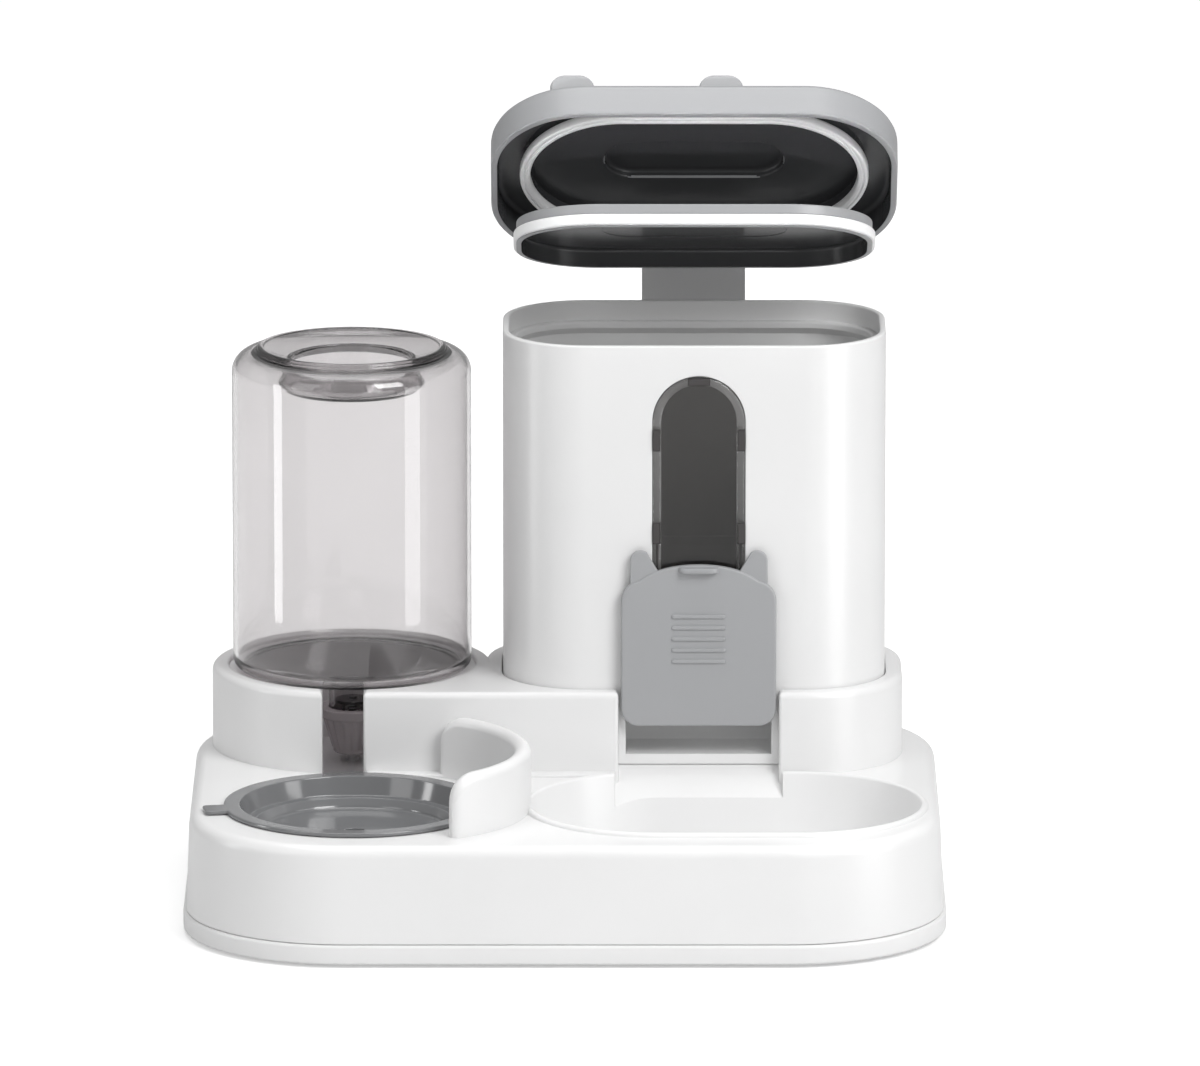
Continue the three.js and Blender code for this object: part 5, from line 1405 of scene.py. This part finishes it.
class FEEDER_OT_gate(bpy.types.Operator):
    """Build the sliding gate"""

    bl_idname = "feeder.gate"
    bl_label = "Gate"

    def execute(self, context):
        food = sizes().bin
        low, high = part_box("feed_gate")
        x, half = (low.x + high.x) / 2, (high.x - low.x) / 2
        corner, shoulder, crown = food.gate_corner, food.gate_shoulder, food.gate_crown
        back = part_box("food_bin")[0].y - food.gate_standoff
        front = back - food.gate_plate
        right = arc((half - corner, low.z + corner), corner, -QUARTER, 0, CORNER_STEPS)
        right.append((half, shoulder - corner))
        right += bezier(right[-1], (half, shoulder), (half - corner, shoulder + corner / 4))
        right += bezier(right[-1], (half / 2, crown), (0, crown))
        outline = [(x + across, z) for across, z in right]
        outline += [(x - across, z) for across, z in reversed(right[:-1])]
        plate = plate_at(outline, back, front, food.gate_plate * 0.3)
        solids = []
        lug_low, lug_high = (food.rib_middle + up * food.lug_height / 2 for up in (-1, 1))
        head_front = high.y - food.lug_head_thickness
        for side in (-1, 1):
            solids.append(gate_ear(x, half, side, front))
            lug_x = x + side * food.lug_offset
            for width, near, far in ((food.lug_width, back - OVERRUN, head_front + OVERRUN),
                                     (food.lug_head, head_front, high.y)):
                solids.append(crate((lug_x - width / 2, near, lug_low),
                                    (lug_x + width / 2, far, lug_high)))
        reach_x, reach_z = food.rib_width / 2, food.rib_height / 2
        bar = inset_box((-reach_x, -reach_z), (reach_x, reach_z), [reach_z * 0.99] * 4, 0.0)
        for i in range(-2, 3):
            z = food.rib_middle + i * food.rib_pitch
            rib = [(x + across, z + up) for across, up in bar]
            solids.append(plate_at(rib, front + OVERRUN, front - food.rib_proud,
                                   food.rib_proud * 0.6))
        top = crown - food.edge
        near = (x - food.handle_width / 2, front - food.handle_reach)
        far = (x + food.handle_width / 2, back - OVERRUN)
        radii = [EDGE_LEAST * 2] * 2 + [food.handle_reach * 0.92] * 2
        edge = food.handle_height * 0.3
        solids.append(slab(lambda inset: inset_box(near, far, radii, inset),
                           top - food.handle_height, top, top_edge=edge, bottom_edge=edge))
        piece("feed_gate", fused(plate, *solids), "gate", "grey_plastic")
        return {"FINISHED"}


# Lids and their seals, drawn closed with the plate pushed home, then raised and turned open

# A face of a closed lid that points up more than this belongs to its top and never gets its painted
# shade
FACES_UP = 0.5


def opened(data, turn):
    """A closed lid's mesh in its place on the raised plate, turned open about the pin."""
    lids = sizes().lids
    pivot = Vector((0, lids.pivot_y, lids.pivot_z))
    data.transform(
        Matrix.Translation(pivot) @ Matrix.Rotation(-turn, 4, "X") @ Matrix.Translation(-pivot))
    data.transform(Matrix.Translation((0, 0, lids.raised)))
    return data


def lid_frame():
    """Centre and half sizes of the bin as the lids see it."""
    low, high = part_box("food_bin")
    half_y = sizes().bin.depth / 2
    return (low.x + high.x) / 2, low.y + half_y, (high.x - low.x) / 2, half_y


def lid_outline(grow, half_x, half_y, corner):
    """A plan about the lids' centre."""
    x, y = lid_frame()[:2]
    return rounded_box(
        (x - half_x - grow, y - half_y - grow), (x + half_x + grow, y + half_y + grow),
        [max(corner + grow, EDGE_LEAST)] * 4, 2 * CORNER_STEPS)


def from_outline(across, along, half_x, half_y, corner):
    """How far a point lies from a rounded plan: negative within, positive outside."""
    across = abs(across) - half_x + corner
    along = abs(along) - half_y + corner
    return math.hypot(max(across, 0), max(along, 0)) + min(max(across, along), 0) - corner


def oval(width, depth):
    """A stadium about the lids' centre, for any inset."""
    return lambda inset: lid_outline(-inset, width / 2, depth / 2, depth / 2 * 0.99)


def oval_ring(width, depth, thickness, bottom, top, edge):
    """A stadium-shaped ring with rounded edges, open in the middle."""
    low, high, soft = bottom + edge, top - edge, edge * 0.3
    rows = [(edge, bottom)]
    rows += [(inset, low - edge * math.sin(math.acos(1 - inset / edge)))
             for inset in (edge * 0.6, soft)]
    rows += [(0.0, low), (0.0, high), (soft, top - soft), (edge, top)]
    rows += [(thickness - inset, z) for inset, z in (
        (edge, top), (soft, top - soft), (0.0, high), (0.0, low), (soft, bottom + soft),
        (edge, bottom))]
    corner = depth / 2 - EDGE_LEAST / 10
    return loft([at_height(lid_outline(-inset, width / 2, depth / 2, corner), z)
                 for inset, z in rows], closed=True)


def bar_along(radius, near, far):
    """A round bar along the hinge's axis."""
    lids = sizes().lids
    outline = circle(0, 0, radius, ROUND_STEPS // 4)
    return loft([[Vector((x, lids.pivot_y + a, lids.pivot_z + b)) for a, b in outline]
                 for x in (near, far)])


def hinge_arms(offset, blocks):
    """A pair of arms to a lid's knuckles: each has a bar on the pin and blocks, which are given
    by their first and last place in Y and Z."""
    half = sizes().lids.knuckle_width / 2
    solids = []
    for side in (-1, 1):
        x = lid_frame()[0] + side * offset
        solids += [crate((x - half, front, low), (x + half, back, high))
                   for front, back, low, high in blocks]
        solids.append(bar_along(sizes().lids.knuckle, x - half, x + half))
    return solids


def pin_bore():
    """The hole for the hinge pin."""
    lids = sizes().lids
    x = lid_frame()[0]
    return bar_along(lids.pin_radius + HAIR_GAP * 0.7, x - lids.plate_width, x + lids.plate_width)


def lid_ear(middle_x, front, foot, crown):
    """One of the ears on the outer lid's top."""
    lids = sizes().lids
    reach, tip, edge = lids.ear_width / 2, lids.ear_width / 3, lids.ear_thickness * 0.25
    outline = [(middle_x - reach, foot), (middle_x + reach, foot)]
    outline += arc((middle_x + reach - tip, crown - tip), tip, 0, QUARTER, CORNER_STEPS)
    outline += arc((middle_x - reach + tip, crown - tip), tip, QUARTER, HALF, CORNER_STEPS)
    back = front + lids.ear_thickness
    middle_z = (crown + foot) / 2
    rings = []
    for y, inset in ((front, edge), (front + edge * 0.3, edge * 0.3), (front + edge, 0.0),
                     (back - edge, 0.0), (back - edge * 0.3, edge * 0.3), (back, edge)):
        narrowed, lowered = 1 - inset / reach, 1 - inset / (crown - middle_z)
        rings.append([Vector((middle_x + (x - middle_x) * narrowed, y,
                              middle_z + (z - middle_z) * lowered)) for x, z in outline])
    return loft(rings)


class FEEDER_OT_outer_lid(bpy.types.Operator):
    """Build the outer lid and its seal"""

    bl_idname = "feeder.outer_lid"
    bl_label = "Outer lid"

    def execute(self, context):
        lids = sizes().lids
        x, y, half_x, half_y = lid_frame()
        half_x, half_y = half_x + lids.overhang, half_y + lids.overhang
        corner = sizes().bin.corner + lids.overhang
        bottom, wall = lids.outer_bottom, lids.outer_wall
        top = bottom + lids.outer_height
        under = top - wall

        def plan(inset):
            return lid_outline(-inset, half_x, half_y, corner)

        body = slab(plan, bottom, top, top_edge=lids.outer_edge, bottom_edge=wall * 0.25)
        inside = slab(lambda inset: plan(inset + wall), bottom - OVERRUN, under,
                      top_edge=lids.outer_edge - wall * 0.5)
        recess_top = under + lids.recess_height
        recess_plan = oval(lids.recess_width, lids.recess_depth)
        boss = slab(lambda inset: recess_plan(inset - wall), under + HAIR_GAP, recess_top + wall,
                    top_edge=wall / 2)
        edge = lids.recess_height * 0.3
        rows = [(-edge, under - OVERRUN), (-edge, under)]
        rows += [(-edge * (1 - math.sin(a)), under + edge * (1 - math.cos(a)))
                 for a in (0.5, 1.0, QUARTER)]
        rows += edge_steps(lids.recess_height / 2, recess_top)
        recess = layered(recess_plan, rows)
        rear = y + half_y
        inner = rear - wall
        half = lids.outer_knuckle_x + lids.knuckle_width / 2 + 2 * lids.pin_radius + HAIR_GAP
        gap = crate((x - half, inner - OVERRUN, bottom - OVERRUN),
                    (x + half, rear + OVERRUN, under))
        ears = [lid_ear(x + place * 2 * half_x, y - half_y + lids.ear_setback,
                        top - lids.outer_edge, top + lids.ear_height)
                for place in (lids.ear_left, lids.ear_right)]
        shell = carved(fused(carved(body, inside), boss, *ears), recess, gap)
        thickness = lids.ring_thickness
        seal_bottom = lids.inner_bottom + lids.inner_height + HAIR_GAP
        seal_top = seal_bottom + lids.ring_height
        rib = oval_ring(lids.ring_width - thickness / 2, lids.ring_depth - thickness / 2,
                        thickness / 2, seal_top + HAIR_GAP, under + HAIR_GAP * 2, HAIR_GAP)
        pin = lids.pivot_z
        arms = hinge_arms(lids.outer_knuckle_x, (
            (inner, lids.pivot_y, pin, pin + lids.knuckle),
            (inner, rear - HAIR_GAP * 2, pin, under + HAIR_GAP * 2)))
        shell = carved(fused(shell, rib, *arms), pin_bore())
        roof = under + HAIR_GAP / 2

        # Faces inside the skirt, and the recess's faces that do not point up, get the painted shade
        def is_inside(place, turn):
            across, along = place.x - x, place.y - y
            in_skirt = from_outline(across, along, half_x, half_y, corner) < -wall * 0.4
            if in_skirt and bottom + wall * 0.3 < place.z < roof:
                return True
            in_recess = abs(across) < lids.recess_width / 2 and abs(along) < lids.recess_depth / 2
            return in_recess and turn.z < FACES_UP and under < place.z < recess_top + HAIR_GAP / 2

        piece("outer_lid", opened(lined(shell, is_inside), lids.outer_open), "outer_cover",
              "grey_plastic", look="lid_plastic", liner="liner_plastic")
        edge, groove_inset = thickness * 0.22, thickness * 0.75
        seal = oval_ring(lids.ring_width, lids.ring_depth, thickness, seal_bottom, seal_top, edge)
        groove = oval_ring(lids.ring_width - groove_inset, lids.ring_depth - groove_inset,
                           edge, seal_bottom - OVERRUN, seal_bottom + HAIR_GAP * 2, HAIR_GAP)
        piece("outer_lid_seal", opened(carved(seal, groove), lids.outer_open), "outer_cover",
              "soft_seal")
        return {"FINISHED"}


class FEEDER_OT_inner_lid(bpy.types.Operator):
    """Build the inner lid and its seal"""

    bl_idname = "feeder.inner_lid"
    bl_label = "Inner lid"

    def execute(self, context):
        lids = sizes().lids
        x, y = lid_frame()[:2]
        half_x, half_y, corner = lids.inner_width / 2, lids.inner_depth / 2, lids.inner_corner
        bottom, wall = lids.inner_bottom, lids.inner_wall
        top = bottom + lids.inner_height
        under = top - wall

        def plan(inset):
            return lid_outline(-inset, half_x, half_y, corner)

        body = slab(plan, bottom, top, top_edge=wall * 0.34, bottom_edge=wall * 0.2)
        groove_top = top - lids.inner_flange
        groove_bottom = groove_top - lids.seal_height - HAIR_GAP
        groove = carved(prism(plan(-OVERRUN), groove_bottom, groove_top),
                        prism(plan(wall / 2), groove_bottom - OVERRUN, top))
        inside = slab(lambda inset: plan(inset + wall), bottom - OVERRUN, under,
                      top_edge=wall * 0.6)
        rise = HAIR_GAP * 4
        pad = layered(oval(lids.pad_width, lids.pad_depth), [
            (-HAIR_GAP * 2, under - rise), (0.0, under), (HAIR_GAP, under + rise * 0.25),
            (rise, under + rise * 0.33)])
        past_ring = y + lids.ring_depth / 2 + 4 * HAIR_GAP
        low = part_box("food_bin")[1].z + HAIR_GAP
        arms = hinge_arms(lids.inner_knuckle_x, (
            (past_ring, lids.pivot_y, low, lids.pivot_z + lids.knuckle - HAIR_GAP),
            (y + half_y - 2 * wall, past_ring + OVERRUN, low, top)))
        shell = carved(fused(carved(body, groove, inside, pad), *arms), pin_bore())

        # Faces within the lid that do not point up get the painted shade
        def is_inside(place, turn):
            away = from_outline(place.x - x, place.y - y, half_x, half_y, corner)
            between = bottom + wall * 0.3 < place.z < under + 2 * rise
            return away < -wall * 0.6 and between and turn.z < FACES_UP

        piece("inner_lid", opened(lined(shell, is_inside), lids.inner_open), "inner_cover",
              "grey_plastic", look="lid_plastic", liner="liner_plastic")
        seal_top = groove_top - HAIR_GAP / 2
        seal_bottom = seal_top - lids.seal_height
        edge = lids.seal_height * 0.25
        seal = slab(lambda inset: plan(inset - lids.seal_proud), seal_bottom, seal_top,
                    top_edge=edge, bottom_edge=edge)
        core = prism(plan(wall / 2 - HAIR_GAP), seal_bottom - OVERRUN, seal_top + OVERRUN)
        piece("inner_lid_seal", opened(carved(seal, core), lids.inner_open), "inner_cover",
              "soft_seal")
        return {"FINISHED"}


class FEEDER_OT_finishes(bpy.types.Operator):
    """Dress the frame's own pieces: clips, valve, hinge plate, pin, screws and feet"""

    bl_idname = "feeder.finishes"
    bl_label = "Finishes of the frame's pieces"

    def execute(self, context):
        kept = {
            "dark_plastic": ["window_clip_" + str(i) for i in range(1, 6)]
            + ["valve_stem", "valve_cage"],
            # The hinge plate takes the lighter grey that paints light on it
            "plate_plastic": ["hinge_plate"],
            "rubber": ["rubber_foot_" + str(i) for i in range(1, 5)] + ["valve_seal"],
            "soft_seal": ["cap_gasket"],
            "steel": ["cover_screw_" + str(i) for i in range(1, 7)] + ["hinge_pin", "valve_spring"],
        }
        for slot, names in kept.items():
            for name in names:
                materials = bpy.data.objects[name].data.materials
                materials.clear()
                materials.append(finish(slot))
        return {"FINISHED"}


# Studio: places and sizes of the lamps in metres

# Where most lamps look
TARGET = (0, 0, 0.15)
# Lamps by the name of their power
LAMPS = {
    "key": dict(place=(1.3, -1.5, 1.7), target=TARGET, width=1.1, height=1.1),
    "fill": dict(place=(-1.6, -1.3, 1.1), target=TARGET, width=0.9, height=1.4),
    "low": dict(place=(0.9, -1.9, 0.3), target=TARGET, width=1.2, height=0.5),
    "lid": dict(place=(0.15, -1.3, 0.12), target=(0.06, 0.07, 0.46), width=0.4, height=0.05),
    "top": dict(place=(0.0, 0.25, 2.2), target=TARGET, width=1.8, height=1.4),
}
# Strips beside the bottle; turn is in radians to the right of the camera's direction
STREAKS = {
    "right_streak": dict(turn=1.03, width=0.17),
    "left_streak": dict(turn=-1.25, width=0.1),
}
STREAK_Z, STREAK_HEIGHT = 0.12, 0.5
# Camera: width of its sensor in millimetres, and how near and far it sees in metres
SENSOR_WIDTH = 36
SEEN_FROM, SEEN_TO = 0.1, 100


def lamp(name, place, target, width, height, power, spread=HALF):
    """A soft area lamp that looks at a point."""
    light = bpy.data.lights.new(name, "AREA")
    light.shape = "RECTANGLE"
    light.size, light.size_y = width, height
    light.energy, light.spread = power, spread
    holder = bpy.data.objects.new(name, light)
    holder.location = place
    aim = Vector(target) - Vector(place)
    holder.rotation_euler = aim.to_track_quat("-Z", "Y").to_euler()
    holder.visible_camera = False
    bpy.context.scene.collection.objects.link(holder)
    return holder


def backdrop_material():
    """A floor that keeps its shadows, seen as white by the eye and through clear plastic."""
    material, tree, output, place = plain_tree("backdrop_finish")
    stage = sizes().stage
    broad = mottle(tree, place, 3, 1, (-650, 200))
    floor = node(tree, "ShaderNodeBsdfDiffuse", (0, 0), {
        "Color": varied_colour(tree, broad, stage.floor, 0.004, (-350, 250))}).outputs["BSDF"]
    reach = node(tree, "ShaderNodeVectorMath", (-500, -300), {0: place}, operation="LENGTH")
    fade = node(tree, "ShaderNodeMapRange", (-250, -300), {
        "Value": reach.outputs["Value"], "From Min": stage.glow_near, "From Max": stage.glow_far,
        "To Min": stage.floor_glow, "To Max": stage.far_glow}, interpolation_type="SMOOTHSTEP")
    rise = node(tree, "ShaderNodeMapRange", (-250, -600), {
        "Value": reach.outputs["Value"], "From Min": stage.horizon_near,
        "From Max": stage.floor_half, "To Max": stage.horizon_glow})
    total = node(tree, "ShaderNodeMath", (-100, -400), {
        0: fade.outputs["Result"], 1: rise.outputs["Result"]}, operation="ADD")
    glow = node(tree, "ShaderNodeEmission", (0, -200), {
        "Color": rgba(stage.backdrop), "Strength": total.outputs["Value"]})
    both = node(tree, "ShaderNodeAddShader", (250, -100), {0: floor, 1: glow.outputs["Emission"]})
    path = node(tree, "ShaderNodeLightPath", (0, 300)).outputs
    seen = node(tree, "ShaderNodeMath", (250, 300), {
        0: path["Is Camera Ray"], 1: path["Is Transmission Ray"]}, operation="MAXIMUM")
    choice = node(tree, "ShaderNodeMixShader", (550, 0), {
        "Fac": seen.outputs["Value"], 1: floor, 2: both.outputs["Shader"]})
    tree.links.new(choice.outputs["Shader"], output.inputs["Surface"])
    return material


def wide_floor():
    """A plain floor that fills the picture."""
    mesh = bmesh.new()
    bmesh.ops.create_grid(mesh, x_segments=8, y_segments=8, size=sizes().stage.floor_half)
    data = bpy.data.meshes.new("floor")
    mesh.to_mesh(data)
    mesh.free()
    data.materials.append(backdrop_material())
    return object_of(data, "floor")


class FEEDER_OT_stage(bpy.types.Operator):
    """Set up the camera, the lamps and the floor"""

    bl_idname = "feeder.stage"
    bl_label = "Studio"

    def execute(self, context):
        scene, stage = context.scene, sizes().stage
        camera = bpy.data.cameras.new("camera")
        camera.lens, camera.sensor_width = stage.lens, SENSOR_WIDTH
        camera.clip_start, camera.clip_end = SEEN_FROM, SEEN_TO
        holder = bpy.data.objects.new("camera", camera)
        holder.location = (stage.camera_x, stage.camera_y, stage.camera_z)
        holder.rotation_euler = (QUARTER - stage.elevation, 0, 0)
        scene.collection.objects.link(holder)
        scene.camera = holder
        lamps = [lamp(name + "_lamp", power=getattr(stage, name),
                      spread=stage.lid_spread if name == "lid" else HALF, **setting)
                 for name, setting in LAMPS.items()]
        bottle, reach = middle("water_bottle"), stage.streak_reach
        for name, strip_at in STREAKS.items():
            turn = strip_at["turn"]
            place = (bottle.x + reach * math.sin(turn), bottle.y - reach * math.cos(turn), STREAK_Z)
            strip = lamp(name, place, (bottle.x, bottle.y, STREAK_Z), strip_at["width"],
                         STREAK_HEIGHT, stage.streak)
            strip.visible_diffuse = strip.visible_transmission = False
            lamps.append(strip)
        world = bpy.data.worlds.new("studio")
        world.use_nodes = True
        tree = world.node_tree
        tree.nodes.clear()
        # The sky lights the feeder with its own strength, and the camera sees it white
        seen = node(tree, "ShaderNodeLightPath", (-400, 0)).outputs["Is Camera Ray"]
        strength = node(tree, "ShaderNodeMath", (-200, 0), {0: seen, 1: stage.sky},
                        operation="MAXIMUM").outputs["Value"]
        sky = node(tree, "ShaderNodeBackground", (0, 0), {
            "Color": rgba(stage.backdrop), "Strength": strength}).outputs["Background"]
        node(tree, "ShaderNodeOutputWorld", (300, 0), {"Surface": sky})
        scene.world = world
        scene.view_settings.view_transform = "Standard"
        wide_floor()
        return {"FINISHED"}


class FEEDER_PT_panel(bpy.types.Panel):
    """Lists the feeder's steps and settings in the sidebar"""

    bl_idname = "FEEDER_PT_panel"
    bl_label = "Gravity pet feeder"
    bl_space_type = "VIEW_3D"
    bl_region_type = "UI"
    bl_category = "Feeder"

    def draw(self, context):
        for operator in OPERATORS:
            self.layout.operator(operator.bl_idname)
        for group in context.scene.feeder.bl_rna.properties:
            if group.type == "POINTER" and group.identifier != "rna_type":
                self.layout.label(text=group.identifier.capitalize())
                values = getattr(context.scene.feeder, group.identifier)
                for value in values.bl_rna.properties:
                    if value.identifier not in ("rna_type", "name"):
                        self.layout.prop(values, value.identifier)


OPERATORS = (
    FEEDER_OT_tray, FEEDER_OT_cover, FEEDER_OT_water_bowl, FEEDER_OT_bottle, FEEDER_OT_cap,
    FEEDER_OT_bin, FEEDER_OT_hopper, FEEDER_OT_window, FEEDER_OT_gate, FEEDER_OT_outer_lid,
    FEEDER_OT_inner_lid, FEEDER_OT_finishes, FEEDER_OT_stage,
)
GROUPS = (
    FEEDER_PG_tray, FEEDER_PG_bowls, FEEDER_PG_bottle, FEEDER_PG_bin, FEEDER_PG_lids,
    FEEDER_PG_finish, FEEDER_PG_stage, FEEDER_PG_all,
)


def register():
    """Make the feeder's settings, steps and panel known."""
    for kind in GROUPS + OPERATORS + (FEEDER_PT_panel,):
        bpy.utils.register_class(kind)
    bpy.types.Scene.feeder = PointerProperty(type=FEEDER_PG_all)


def unregister():
    """Take them away again."""
    del bpy.types.Scene.feeder
    for kind in reversed(GROUPS + OPERATORS + (FEEDER_PT_panel,)):
        bpy.utils.unregister_class(kind)


def main():
    """Build everything in order."""
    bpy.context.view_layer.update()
    register()
    for operator in OPERATORS:
        family, name = operator.bl_idname.split(".")
        result = getattr(getattr(bpy.ops, family), name)()
        if result != {"FINISHED"}:
            raise RuntimeError(operator.bl_label + " did not finish")


if __name__ == "__main__":
    main()
